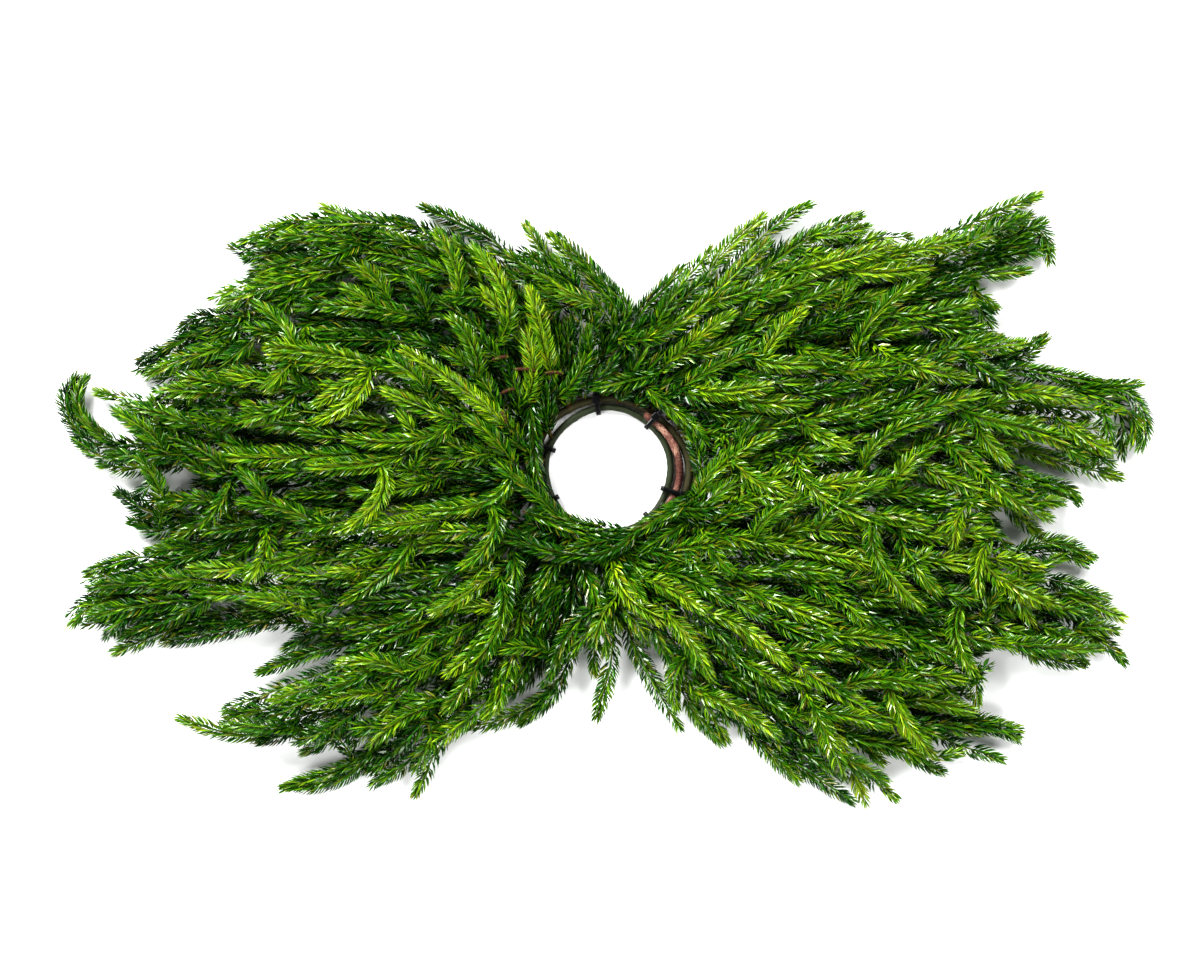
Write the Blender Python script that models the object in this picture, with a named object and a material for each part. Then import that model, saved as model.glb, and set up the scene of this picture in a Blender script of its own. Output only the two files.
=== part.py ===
"""Evergreen candle ring: vine strands bent into a ring, plastic ties round them, and sprays of soft
evergreen that leave the ring and fan out into two wings, with a round opening for a candle in the middle.

Frame: +Z up, +X towards the right wing, origin on the table under the middle of the whole spread.
The layout is written in millimetres. A mesh is scaled to metres when it is made.
"""

import math
from collections import namedtuple

import bmesh
import bpy
import numpy as np

MM = 0.001
SEED = 24

# Ring of vine
RING_CENTRE = np.array((2.5, 15.0))
OPENING_RADIUS = 32.2
SEAT_GAP = 0.35
BUTT_GAP = 0.45
INNER_RADIUS = 2.1
OUTER_RADIUS = 2.4
BARK_RADIUS = 2.2
STRAND_SIDES = 6
STRAND_STEPS = 40
BARK_START, BARK_END = 57.0, -70.0
OUTER_BULGES = ((-6.0, 34.0, 5.8), (140.0, 22.0, 2.0), (236.0, 30.0, 1.0))

# Plastic ties
TIE_ANGLES = (99.5, 48.0, -18.6, 160.0, 208.0, 252.0, 310.5)
TIE_THICK = 1.0
TIE_WIDTH = 2.6
TIE_HEAD = (4.6, 4.4, 3.2)
TIE_TAIL = (5.5, 2.0, 0.9)
FOOT_SNAP = 0.3

# Sprays: stems and needles
STEM_RADIUS_ROOT = 1.8
STEM_RADIUS_TIP = 1.15
NEEDLE_LENGTH = 11.0
WHORL_WIDTH = 2.2
WHORL_PITCH = 20.1
BARE_ROOT = 12.0
BARE_SHOOT = 7.5
TIP_CONE = 6.5
PATH_STEP = 3.0
STEM_REST_HEIGHT = 8.2
ROPE_REACH = 4.2
ROOT_REACH = 2.15
REACH_GROWS_OVER = 30.0
STACK_SHARE = 0.92
TIE_REACH = 1.9
TIE_HEAD_REACH = 3.4
STEEPEST_CLIMB = 1.1
TABLE_GAP = 0.5
CLEARANCE = 0.3
OPENING_KEPT = 22.6

# One spray: the angle round the ring where its stem starts, whether it rests on the strands or butts
# against the outer one, the points its stem passes, and the side shoots placed by hand, each as
# (share of the stem, tip)
Spray = namedtuple("Spray", "name angle seat stem shoots", defaults=[()])
ON, BESIDE = "on", "beside"
MOST_TURN = {ON: 86.0, BESIDE: 50.0}

SPRAYS = (
    # Lowest layer, whose stems butt against the outer strand
    Spray("right_01", 12, BESIDE, ((86, 26), (141, 32), (191, 33), (218, 31), (251, 20), (286, 11))),
    Spray("right_02", -3, BESIDE, ((64, 11), (108, 14), (163, 22), (207, 23), (235, 10), (261, -3))),
    Spray("right_03", -30, BESIDE, ((86, -18), (141, -26), (196, -26), (229, -31), (252, -30), (267, -37))),
    Spray(
        "right_04", -42, BESIDE,
        ((75, -43), (125, -51), (180, -48), (218, -50), (250, -62), (286, -88)),
        ((0.8, (288, -67)), (0.72, (279, -56)), (0.8, (266, -92)), (0.66, (238, -90))),
    ),
    Spray(
        "right_05", -57, BESIDE,
        ((70, -62), (125, -96), (180, -121), (208, -126), (231, -128)),
        ((0.78, (221, -145)), (0.6, (203, -110))),
    ),
    Spray(
        "right_06", -66, BESIDE,
        ((53, -78), (97, -111), (136, -145), (162, -167)),
        ((0.6, (182, -150)),),
    ),
    Spray("right_07", -78, BESIDE, ((37, -78), (70, -118), (108, -157))),
    Spray("middle_01", -84, BESIDE, ((17, -55), (35, -84), (54, -110), (68, -135))),
    Spray("middle_02", -90, BESIDE, ((8, -56), (19, -86), (42, -128))),
    Spray("middle_03", 263, BESIDE, ((2, -51), (5, -84), (-4, -123))),
    Spray("left_01", 245, BESIDE, ((-16, -78), (-30, -108), (-57, -123), (-80, -127))),
    Spray("left_02", 238, BESIDE, ((-40, -78), (-68, -106), (-90, -136), (-104, -165))),
    Spray(
        "left_03", 230, BESIDE,
        ((-57, -73), (-95, -113), (-139, -147), (-178, -161)),
        ((0.62, (-128, -160)),),
    ),
    Spray(
        "left_04", 222, BESIDE,
        ((-73, -67), (-117, -100), (-161, -124), (-200, -131), (-235, -122)),
        ((0.45, (-211, -118)),),
    ),
    Spray("left_05", 215, BESIDE, ((-84, -40), (-139, -56), (-194, -62), (-233, -71), (-271, -86))),
    Spray("left_06", 199, BESIDE, ((-95, -18), (-156, -26), (-211, -34), (-255, -40), (-287, -46))),
    Spray("left_07", 190, BESIDE, ((-101, -1), (-167, -8), (-222, -10), (-256, -12))),
    Spray("left_08", 181, BESIDE, ((-112, 18), (-167, 23), (-222, 20), (-255, 16), (-278, 18))),
    Spray(
        "left_09", 172, BESIDE,
        (
            (-60, 31), (-112, 37), (-167, 34), (-222, 30), (-255, 28), (-276, 33), (-289, 46), (-290, 58),
            (-285, 67),
        ),
    ),
    Spray("left_10", 166, BESIDE, ((-95, 56), (-150, 56), (-205, 53), (-249, 52), (-280, 58))),
    Spray("left_11", 153, BESIDE, ((-90, 75), (-145, 89), (-194, 87), (-233, 80), (-258, 69))),
    Spray("left_12", 146, BESIDE, ((-79, 89), (-128, 108), (-178, 106), (-211, 99), (-233, 88))),
    Spray("left_13", 139, BESIDE, ((-62, 97), (-112, 122), (-161, 126), (-194, 118), (-217, 109))),
    Spray("left_14", 132, BESIDE, ((-46, 108), (-84, 139), (-123, 153), (-167, 152), (-201, 140))),
    Spray("left_15", 125, BESIDE, ((-32, 108), (-57, 138), (-81, 152), (-101, 161))),
    Spray("middle_04", 118, BESIDE, ((-18, 108), (-31, 132), (-43, 151))),
    Spray("middle_05", 111, BESIDE, ((8, 98), (-6, 119), (-22, 136), (-30, 145))),
    Spray("middle_06", 92, BESIDE, ((22, 92), (42, 116), (60, 137))),
    Spray("right_08", 85, BESIDE, ((42, 92), (73, 129), (94, 149), (115, 162)), ((0.5, (89, 156)),)),
    Spray("right_09", 78, BESIDE, ((64, 103), (103, 127), (138, 141), (170, 144)), ((0.55, (143, 156)),)),
    Spray("right_10", 71, BESIDE, ((81, 97), (136, 125), (180, 140), (213, 156), (242, 167))),
    Spray(
        "right_11", 64, BESIDE,
        ((92, 92), (147, 114), (191, 131), (225, 143), (244, 153)),
        ((0.72, (235, 125)), (0.85, (248, 138))),
    ),
    Spray("right_12", 57, BESIDE, ((103, 81), (152, 95), (185, 108), (215, 103))),
    Spray("right_13", 40, BESIDE, ((108, 62), (163, 73), (213, 76), (243, 88))),
    Spray(
        "right_14", 30, BESIDE,
        ((119, 48), (180, 57), (229, 62), (262, 58), (286, 50), (294, 40), (290, 29)),
        ((0.84, (297, 63)),),
    ),
    Spray("right_20", 21, BESIDE, ((72, 34), (108, 42), (141, 50), (180, 66), (212, 68))),
    # Upper layers, whose stems rest across the strands
    Spray("left_16", 196, ON, ((-90, 15), (-139, 10), (-194, 4), (-235, 0), (-256, -2), (-269, 2))),
    Spray(
        "left_17", 222, ON,
        ((-95, -45), (-150, -48), (-205, -49), (-252, -53), (-280, -59), (-293, -71)),
    ),
    Spray("left_18", 232, ON, ((-79, -62), (-123, -76), (-161, -86), (-191, -97))),
    Spray("left_19", 242, ON, ((-68, -89), (-112, -116), (-145, -132), (-166, -141))),
    Spray(
        "left_20", 150, ON,
        ((-35, 70), (-73, 108), (-117, 132), (-161, 135), (-193, 129)),
        ((0.62, (-155, 160)),),
    ),
    Spray("left_21", 172, ON, ((-101, 64), (-150, 73), (-194, 67), (-222, 54))),
    Spray("right_15", 318.5, ON, ((92, -10), (141, -4), (185, -10), (219, -15))),
    Spray("right_16", 284, ON, ((26, -40), (64, -35), (108, -34), (152, -45), (188, -66))),
    Spray("right_17", 276, ON, ((17, -45), (64, -56), (119, -67), (169, -84), (201, -104))),
    Spray("right_18", 265, ON, ((14, -55), (48, -73), (92, -86), (124, -124), (145, -169))),
    Spray("right_19", 326, ON, ((60, -6), (103, 8), (147, 26), (191, 45), (221, 53))),
    Spray(
        "left_22", 292, ON,
        ((-2, -21), (-21, -13), (-40, 4), (-68, 26), (-101, 45), (-139, 62), (-172, 70), (-197, 80)),
    ),
    Spray("left_23", 300, ON, ((-2, -31), (-29, -30), (-62, -18), (-101, -15), (-145, -21), (-175, -26))),
)

# Where the foliage ends, as the spread is seen from above. Shoots placed by the rule stay inside.
WING_EDGE = (
    (12, 99), (0, 111), (-27, 136), (-42, 146), (-62, 139), (-90, 153), (-104, 158), (-123, 152),
    (-145, 155), (-172, 151), (-200, 138), (-194, 128), (-214, 111), (-225, 100), (-234, 85),
    (-255, 69), (-249, 59), (-277, 55), (-266, 37), (-277, 20), (-249, 12), (-266, 1), (-255, -11),
    (-249, -26), (-285, -45), (-292, -69), (-269, -83), (-227, -78), (-194, -72), (-150, -74),
    (-142, -81), (-190, -96), (-188, -109), (-230, -122), (-194, -131), (-167, -139), (-178, -160),
    (-150, -153), (-128, -158), (-112, -144), (-102, -164), (-87, -135), (-57, -124), (-24, -103),
    (-7, -84), (-4, -120), (5, -84), (15, -78), (39, -125), (48, -111), (65, -132), (75, -125),
    (108, -153), (119, -147), (144, -166), (162, -165), (160, -150), (182, -147), (196, -131),
    (222, -139), (228, -127), (204, -114), (207, -106), (218, -84), (251, -87), (284, -87),
    (287, -67), (251, -56), (243, -40), (266, -34), (240, -18), (262, -4), (240, 15), (283, 12),
    (284, 23), (291, 42), (291, 58), (273, 62), (229, 62), (218, 73), (243, 86), (218, 92),
    (215, 106), (207, 119), (237, 129), (242, 147), (237, 166), (218, 161), (190, 144), (166, 141),
    (141, 155), (135, 150), (113, 160), (91, 151), (72, 136), (60, 135), (42, 122), (26, 108),
)

# A side shoot by the rule: it leaves its stem at LEAVE_ANGLE, bends back to run nearly along with it,
# and goes where it covers most bare ground
LEAVE_ANGLE = math.radians(44.0)
ALONG_ANGLE = math.radians(9.0)
BEND_OVER = 22.0
SHOOT_LENGTHS = (66.0, 54.0, 44.0, 34.0)
SHOOT_SPREADS = (1.0, 1.35, 0.75)
FIRST_SHOOT = 30.0
SHOOT_SPACING = 9.0
COVER_RADIUS = 8.0
COVER_CELL = 2.0
LEAST_GAIN = 4.0
LENGTH_COST = 0.12
MOST_SHOOTS = 110
SAME_SIDE_ROOM, OTHER_SIDE_ROOM = 14.0, 7.0
OWN_ROOT_ROOM = 11.0
OWN_CORE_GAP, OTHER_CORE_GAP = 5.2, 4.6

# The ways a needle is tried, best first: for each share of its length, a change of its lean from the stem
# and a turn round the stem, in degrees
TRY_SHARES = (1.0, 0.86, 0.7, 0.55)
TRY_TURNS = ((0, 0), (-7, 0), (7, 0), (0, 14), (0, -14), (-14, 0), (-9, 18), (-9, -18), (12, 10), (12, -10))
NEEDLE_TRIES = np.array([(lean, turn, share) for share in TRY_SHARES for lean, turn in TRY_TURNS])
LEAN_FORWARD, LEAN_OUTWARD = 28.0, 57.0
OUTWARD_SHARE = 0.86
LEAST_LEAN = 13.0
NEEDLE_ROD = (1.0, 0.05)
OWN_CORE_SPAN = 13.0


def unit(v):
    """v scaled to length 1, row by row."""
    return v / np.maximum(np.linalg.norm(v, axis=-1, keepdims=True), 1e-12)


def smooth_path(points, step=PATH_STEP):
    """A Catmull-Rom curve through the points, sampled evenly."""
    p = np.asarray(points, float)
    ends = np.vstack([2 * p[0] - p[1], p, 2 * p[-1] - p[-2]])
    t = np.linspace(0, 1, 24, endpoint=False)[None, :, None]
    a, b, c, d = (ends[i : len(p) - 1 + i, None] for i in range(4))
    square = 2 * a - 5 * b + 4 * c - d
    cubic = 3 * b - a - 3 * c + d
    runs = 0.5 * (2 * b + (c - a) * t + square * t**2 + cubic * t**3)
    dense = np.vstack([runs.reshape(-1, p.shape[1]), p[-1:]])
    along = arc_length(dense)
    even = np.linspace(0, along[-1], max(4, int(round(along[-1] / step))) + 1)
    return np.column_stack([np.interp(even, along, column) for column in dense.T])


def arc_length(points):
    return np.concatenate([[0.0], np.cumsum(np.linalg.norm(np.diff(points, axis=0), axis=1))])


def ring_point(angle, radius, height):
    """The point at an angle in degrees and a distance from the ring's axis."""
    a = np.radians(angle)
    return np.stack(
        [RING_CENTRE[0] + radius * np.cos(a), RING_CENTRE[1] + radius * np.sin(a), height + 0 * a], axis=-1
    )


# The ring's strands

STRAND_SPACING = INNER_RADIUS + OUTER_RADIUS + SEAT_GAP
STRAP_TOP = TIE_THICK + SEAT_GAP
INNER_HEIGHT = STRAP_TOP + INNER_RADIUS
OUTER_HEIGHT = STRAP_TOP + OUTER_RADIUS


def inner_line(angle):
    return OPENING_RADIUS + INNER_RADIUS + 0.25 * (1 + np.sin(np.radians(5 * angle)))


def outer_line(angle):
    """The outer strand lies beside the inner one, and bulges away from it in a few places."""
    line = inner_line(angle) + STRAND_SPACING
    for middle, width, height in OUTER_BULGES:
        away = (np.asarray(angle) - middle + 180) % 360 - 180
        line = line + height * np.exp(-((away / width) ** 2))
    return line


def bark_line(angle):
    """Radius and height of the bark strand, which rests in the groove between the others or sinks there."""
    angle = np.asarray(angle, float)
    inner, outer = inner_line(angle), outer_line(angle)
    about = np.linspace(-8, 8, 9)
    spread = angle[..., None, None] + about[:, None] + about
    half = (outer_line(spread) - inner_line(spread)) / 2
    seat = OUTER_RADIUS + BARK_RADIUS + SEAT_GAP
    raised = np.sqrt(np.maximum(seat**2 - half**2, 0.0)).max(-1).mean(-1)
    return (inner + outer) / 2, OUTER_HEIGHT + raised


def strand_path(kind):
    if kind == "bark":
        angle = np.linspace(BARK_START, BARK_END, 27)
        radius, height = bark_line(angle)
        return ring_point(angle, radius, 0.0) + np.outer(height, (0, 0, 1))
    angle = np.linspace(0, 360, STRAND_STEPS, endpoint=False)
    if kind == "inner":
        return ring_point(angle, inner_line(angle), INNER_HEIGHT)
    return ring_point(angle, outer_line(angle), OUTER_HEIGHT)


def tube(path, radius, sides, closed):
    """Vertices and faces of a tube of that radius along a path, with flat ends where it isn't closed."""
    ahead = np.roll(path, -1, axis=0) - np.roll(path, 1, axis=0)
    if not closed:
        ahead[0], ahead[-1] = path[1] - path[0], path[-1] - path[-2]
    ahead = unit(ahead)
    across = unit(np.cross((0, 0, 1.0), ahead))
    up = np.cross(ahead, across)
    turn = np.pi / sides + 2 * np.pi * np.arange(sides) / sides
    rim = across[:, None] * np.cos(turn)[:, None] + up[:, None] * np.sin(turn)[:, None]
    points = (path[:, None] + radius * rim).reshape(-1, 3)
    count = len(path)
    faces = []
    for i in range(count if closed else count - 1):
        j = (i + 1) % count
        for k in range(sides):
            m = (k + 1) % sides
            faces.append((i * sides + k, i * sides + m, j * sides + m, j * sides + k))
    if not closed:
        faces.append(tuple(reversed(range(sides))))
        faces.append(tuple(range((count - 1) * sides, count * sides)))
    return points, faces


def tie_outline(angle):
    """The strap's middle line round the strands, as (radius, height), with rounded corners."""
    low = TIE_THICK / 2
    inner = OPENING_RADIUS - SEAT_GAP - 0.1 - TIE_THICK / 2
    outer = outer_line(angle) + OUTER_RADIUS + SEAT_GAP + 0.2 + TIE_THICK / 2
    top = OUTER_HEIGHT + OUTER_RADIUS
    if BARK_END < (angle + 180) % 360 - 180 < BARK_START:
        top = max(top, bark_line(angle)[1] + BARK_RADIUS)
    top += SEAT_GAP + 0.3 + TIE_THICK / 2
    corner = 1.2
    centres = (
        (inner + corner, low + corner, 180),
        (outer - corner, low + corner, 270),
        (outer - corner, top - corner, 0),
        (inner + corner, top - corner, 90),
    )
    turns = np.radians((18.0, 72.0))
    return np.array(
        [
            (x + corner * math.cos(math.radians(a) + t), z + corner * math.sin(math.radians(a) + t))
            for x, z, a in centres
            for t in turns
        ]
    )


def tie_path(angle):
    outline = tie_outline(angle)
    return ring_point(np.full(len(outline), angle), outline[:, 0], 0.0) + np.outer(outline[:, 1], (0, 0, 1))


def head_and_tail(angle):
    """Centres of a tie's ratchet head and of the tail cut short behind it, and their axes."""
    outline = tie_outline(angle)
    out = unit(ring_point(angle, 10.0, 0.0) - ring_point(angle, 0.0, 0.0))
    up = np.array((0.0, 0.0, 1.0))
    height = outline[:, 1].max() + TIE_THICK / 2 + TIE_HEAD[2] / 2 - 0.7
    head = ring_point(angle, outline[:, 0].max() - 3.6, height)
    tail = head + (TIE_HEAD[0] / 2 + TIE_TAIL[0] / 2 - 0.8) * out
    return head, tail, (out, np.cross(up, out), up)


# Where each stem runs

RING, BARE = -1, -2


class Pile:
    """What lies there so far, as samples of middle lines. A new stem is laid over it."""

    def __init__(self):
        self.points = np.zeros((0, 3))
        self.reach = np.zeros(0)
        self.owner = np.zeros(0, int)
        for kind, radius in (("inner", INNER_RADIUS), ("outer", OUTER_RADIUS), ("bark", BARK_RADIUS)):
            self.add(strand_path(kind), radius, RING)
        for angle in TIE_ANGLES:
            self.add(tie_path(angle), TIE_REACH, RING)
            self.add(np.stack(head_and_tail(angle)[:2]), TIE_HEAD_REACH, RING)

    def add(self, path, reach, owner):
        self.points = np.vstack([self.points, path])
        self.reach = np.append(self.reach, np.full(len(path), reach))
        self.owner = np.append(self.owner, np.full(len(path), owner))

    def over(self, plan, reach, owner):
        """How high a middle line must lie at each plan point to clear what another owner laid there."""
        others = self.owner != owner
        apart = np.linalg.norm(plan[:, None] - self.points[others][None, :, :2], axis=2)
        touch = reach[:, None] + self.reach[others][None]
        height = self.points[others][:, 2] + np.sqrt(np.maximum(touch**2 - apart**2, 0.0))
        return np.where(apart < STACK_SHARE * touch, height, 0.0).max(axis=1)

    def drape(self, plan, start_height, reach, owner):
        """Heights along a plan path: on the table, or on what it crosses, with a stiff stem's slopes."""
        need = np.maximum(self.over(plan, reach, owner), STEM_REST_HEIGHT)
        need = np.minimum(need, start_height + STEEPEST_CLIMB * arc_length(plan))
        need[0] = start_height
        height = need.copy()
        for _ in range(40):
            height[1:-1] = np.maximum(need[1:-1], (height[:-2] + height[2:]) / 2)
        return np.column_stack([plan, height])


def reach_along(path, from_root):
    """How near another stem may lie: little at a bare root, and a rope of needles' core further out."""
    share = np.clip((from_root + arc_length(path)) / REACH_GROWS_OVER, 0, 1)
    return ROOT_REACH + (ROPE_REACH - ROOT_REACH) * share


def stem_radius(share):
    return STEM_RADIUS_ROOT + (STEM_RADIUS_TIP - STEM_RADIUS_ROOT) * np.clip(share, 0, 1)


def segment_gap(p, q, a, b):
    """Distances between segments p-q (n, 1, 3) and a-b (1, m, 3), and where they are nearest, as (n, m)."""
    d1, d2, r = q - p, b - a, p - a
    aa, ee = (d1 * d1).sum(-1) + 1e-12, (d2 * d2).sum(-1) + 1e-12
    f, c, bb = (d2 * r).sum(-1), (d1 * r).sum(-1), (d1 * d2).sum(-1)
    denominator = aa * ee - bb * bb
    s = np.where(denominator > 1e-9, (bb * f - c * ee) / np.maximum(denominator, 1e-9), 0.5)
    s = np.clip(s, 0, 1)
    t = np.clip((bb * s + f) / ee, 0, 1)
    s = np.clip((bb * t - c) / aa, 0, 1)
    gap = np.linalg.norm(r + d1 * s[..., None] - d2 * t[..., None], axis=-1)
    return gap, s, t


Rope = namedtuple("Rope", "owner path parent at")


def root_of(spray, pile):
    """The stem's first point, on the strands or against the outer one, and the next, towards its course."""
    near = spray.angle + np.array((-1.0, 0.0, 1.0))
    about = ring_point(near, outer_line(near), 0.0)
    outward = unit(np.array(((about[2] - about[0])[1], -(about[2] - about[0])[0])))
    course = unit(np.array(spray.stem[0]) - about[1, :2])
    turn = math.atan2(outward[0] * course[1] - outward[1] * course[0], outward @ course)
    most = math.radians(MOST_TURN[spray.seat])
    turn = min(max(0.8 * turn, -most), most)
    if spray.seat == ON:
        start = ring_point(spray.angle, OPENING_RADIUS + 4.0, 0.0)
        start[2] = pile.over(start[None, :2], np.array([STEM_RADIUS_ROOT + SEAT_GAP]), BARE)[0]
    else:
        away = OUTER_RADIUS + BUTT_GAP + STEM_RADIUS_ROOT * abs(math.sin(turn))
        start = np.append(about[1, :2] + away * outward, OUTER_HEIGHT)
    heading = math.atan2(outward[1], outward[0]) + turn
    return start, start[:2] + 8.0 * np.array((math.cos(heading), math.sin(heading)))


def heading_at(path, index):
    index = min(max(index, 1), len(path) - 2)
    d = path[index + 1, :2] - path[index - 1, :2]
    return math.atan2(d[1], d[0])


def placed_shoot(stem, share, tip):
    """The plan of a shoot placed by hand: it leaves its stem at an angle and bends to its tip."""
    index = int(share * (len(stem) - 1))
    ahead, start, tip = heading_at(stem, index), stem[index], np.array(tip, float)
    across = (tip - start) @ (-math.sin(ahead), math.cos(ahead))
    ahead += math.copysign(0.8 * LEAVE_ANGLE, across)
    bend = start + 0.3 * np.linalg.norm(tip - start) * np.array((math.cos(ahead), math.sin(ahead)))
    return index, smooth_path([start, bend, tip])


def ruled_shoot(stem, index, side, spread):
    """The plan of the longest shoot by the rule at a point of a stem."""
    plan = [stem[index]]
    for k in range(int(round(max(SHOOT_LENGTHS) / PATH_STEP))):
        beside = heading_at(stem, index + int(k * 0.9))
        turn = side * spread * (LEAVE_ANGLE * math.exp(-k * PATH_STEP / BEND_OVER) + ALONG_ANGLE)
        plan.append(plan[-1] + PATH_STEP * np.array((math.cos(beside + turn), math.sin(beside + turn))))
    return np.array(plan)


def inside_edge(points):
    """Which plan points lie inside the wings' edge."""
    edge = np.array(WING_EDGE, float)
    x, y = points[..., 0, None], points[..., 1, None]
    a, b = edge, np.roll(edge, -1, axis=0)
    rises = (a[:, 1] > y) != (b[:, 1] > y)
    tall = np.where(b[:, 1] == a[:, 1], 1e-9, b[:, 1] - a[:, 1])
    crossing = a[:, 0] + (y - a[:, 1]) * (b[:, 0] - a[:, 0]) / tall
    return (rises & (x < crossing)).sum(-1) % 2 == 1


class Ground:
    """The wings' ground in square cells, and which of it is still bare."""

    def __init__(self):
        self.low = np.array((-330.0, -210.0))
        self.size = (330, 210)
        i, j = np.meshgrid(np.arange(self.size[0]), np.arange(self.size[1]), indexing="ij")
        middles = self.low + COVER_CELL * (np.stack([i, j], axis=-1) + 0.5)
        self.inside = inside_edge(middles)
        self.inside &= np.linalg.norm(middles - RING_CENTRE, axis=-1) > OPENING_RADIUS + 14.0
        self.bare = self.inside.copy()
        n = int(COVER_RADIUS / COVER_CELL)
        self.disc = [(a, b) for a in range(-n, n + 1) for b in range(-n, n + 1) if a * a + b * b <= n * n]

    def cell(self, points):
        return np.clip(((points - self.low) / COVER_CELL).astype(int), 5, np.array(self.size) - 6)

    def cover(self, plan):
        at = self.cell(plan)
        for a, b in self.disc:
            self.bare[at[:, 0] + a, at[:, 1] + b] = False


def shoot_offers(stems):
    """Every ruled shoot that may be chosen, as (owner, index, side, plan)."""
    step = int(SHOOT_SPACING / PATH_STEP)
    first = int(FIRST_SHOOT / PATH_STEP)
    return [
        (owner, index, side, ruled_shoot(stem, index, side, spread))
        for owner, stem in enumerate(stems)
        for index in range(first, len(stem) - 2, step)
        for side in (-1, 1)
        for spread in SHOOT_SPREADS
    ]


def fill_ground(stems, placed):
    """Ruled shoots, as {owner: [(index, plan)]}, those that reach over most bare ground first."""
    ground = Ground()
    for owner, stem in enumerate(stems):
        ground.cover(stem)
        for _, plan in placed[owner]:
            ground.cover(plan)
    offers = shoot_offers(stems)
    cells = ground.cell(np.array([plan for *_, plan in offers]))
    allowed = np.cumprod(ground.inside[cells[..., 0], cells[..., 1]], axis=1)
    ends = [int(round(length / PATH_STEP)) for length in SHOOT_LENGTHS]
    free = np.ones(len(offers), bool)
    chosen = {owner: [] for owner in range(len(stems))}
    for _ in range(MOST_SHOOTS):
        gain = np.cumsum(ground.bare[cells[..., 0], cells[..., 1]], axis=1)
        score = [np.where(allowed[:, e] & free, gain[:, e] - LENGTH_COST * e, 0.0) for e in ends]
        score = np.stack(score, axis=1)
        best, which = np.unravel_index(int(np.argmax(score)), score.shape)
        if score[best, which] < LEAST_GAIN:
            break
        owner, index, side, plan = offers[best]
        plan = plan[: ends[which] + 1]
        ground.cover(plan)
        chosen[owner].append((index, plan))
        for k, (other, at, beside, _) in enumerate(offers):
            room = SAME_SIDE_ROOM if beside == side else OTHER_SIDE_ROOM
            if other == owner and abs(at - index) * PATH_STEP < room:
                free[k] = False
    return chosen


def cores_clear(path, ropes, owner, near):
    """Whether a new shoot's core keeps its distance from every stem, apart from its own beside its root."""
    for rope in ropes:
        points, own = rope.path, rope.owner == owner
        if own:
            points = points[np.linalg.norm(points - near, axis=1) > OWN_ROOT_ROOM]
            if len(points) < 2:
                continue
        tested = path[3:] if own else path[1:]
        gap = np.linalg.norm(tested[:, None] - points[None], axis=2).min()
        if gap < (OWN_CORE_GAP if own else OTHER_CORE_GAP):
            return False
    return True


def lay_sprays():
    """Every stem and shoot as a rope with its own path, from the lowest spray to the highest."""
    pile, ropes = Pile(), []
    roots = [root_of(spray, pile) for spray in SPRAYS]
    stems = [smooth_path([root[0][:2], root[1], *spray.stem]) for root, spray in zip(roots, SPRAYS)]
    placed = [[placed_shoot(stem, *shoot) for shoot in spray.shoots] for stem, spray in zip(stems, SPRAYS)]
    ruled = fill_ground(stems, placed)
    for owner, plan in enumerate(stems):
        stem = pile.drape(plan, roots[owner][0][2], reach_along(plan, 0.0), owner)
        parent = len(ropes)
        ropes.append(Rope(owner, stem, None, 0))
        laid = [stem]
        for index, shoot_plan in placed[owner] + ruled[owner]:
            reach = reach_along(shoot_plan, REACH_GROWS_OVER)
            shoot = pile.drape(shoot_plan, stem[index, 2], reach, owner)
            if cores_clear(shoot, ropes, owner, stem[index]):
                ropes.append(Rope(owner, shoot, parent, index))
                laid.append(shoot)
        pile.add(stem, reach_along(stem, 0.0), owner)
        for shoot in laid[1:]:
            pile.add(shoot, ROPE_REACH, owner)
    return ropes


# Stems and needles as one surface for each spray


def frames_along(path):
    """Unit vectors (ahead, across, up) carried along a path without twisting."""
    ahead = unit(np.gradient(path, axis=0))
    across = np.zeros_like(ahead)
    across[0] = unit(np.cross((0, 0, 1.0), ahead[0]))
    for i in range(1, len(path)):
        v = across[i - 1] - ahead[i] * (across[i - 1] @ ahead[i])
        across[i] = unit(v)
    return ahead, across, np.cross(ahead, across)


class Track:
    """A rope's path read at any distance along it."""

    def __init__(self, path):
        self.path, self.along = path, arc_length(path)
        self.frames = frames_along(path)
        self.length = self.along[-1]

    def at(self, s):
        """Position and (ahead, across, up) at distance s."""
        place, ahead, across = (self.read(rows, s) for rows in (self.path, *self.frames[:2]))
        ahead = unit(ahead)
        across = unit(across - ahead * (across @ ahead))
        return place, ahead, across, np.cross(ahead, across)

    def read(self, rows, s):
        """Rows known at the path's points, read at distance s."""
        return np.array([np.interp(s, self.along, column) for column in rows.T])


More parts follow.
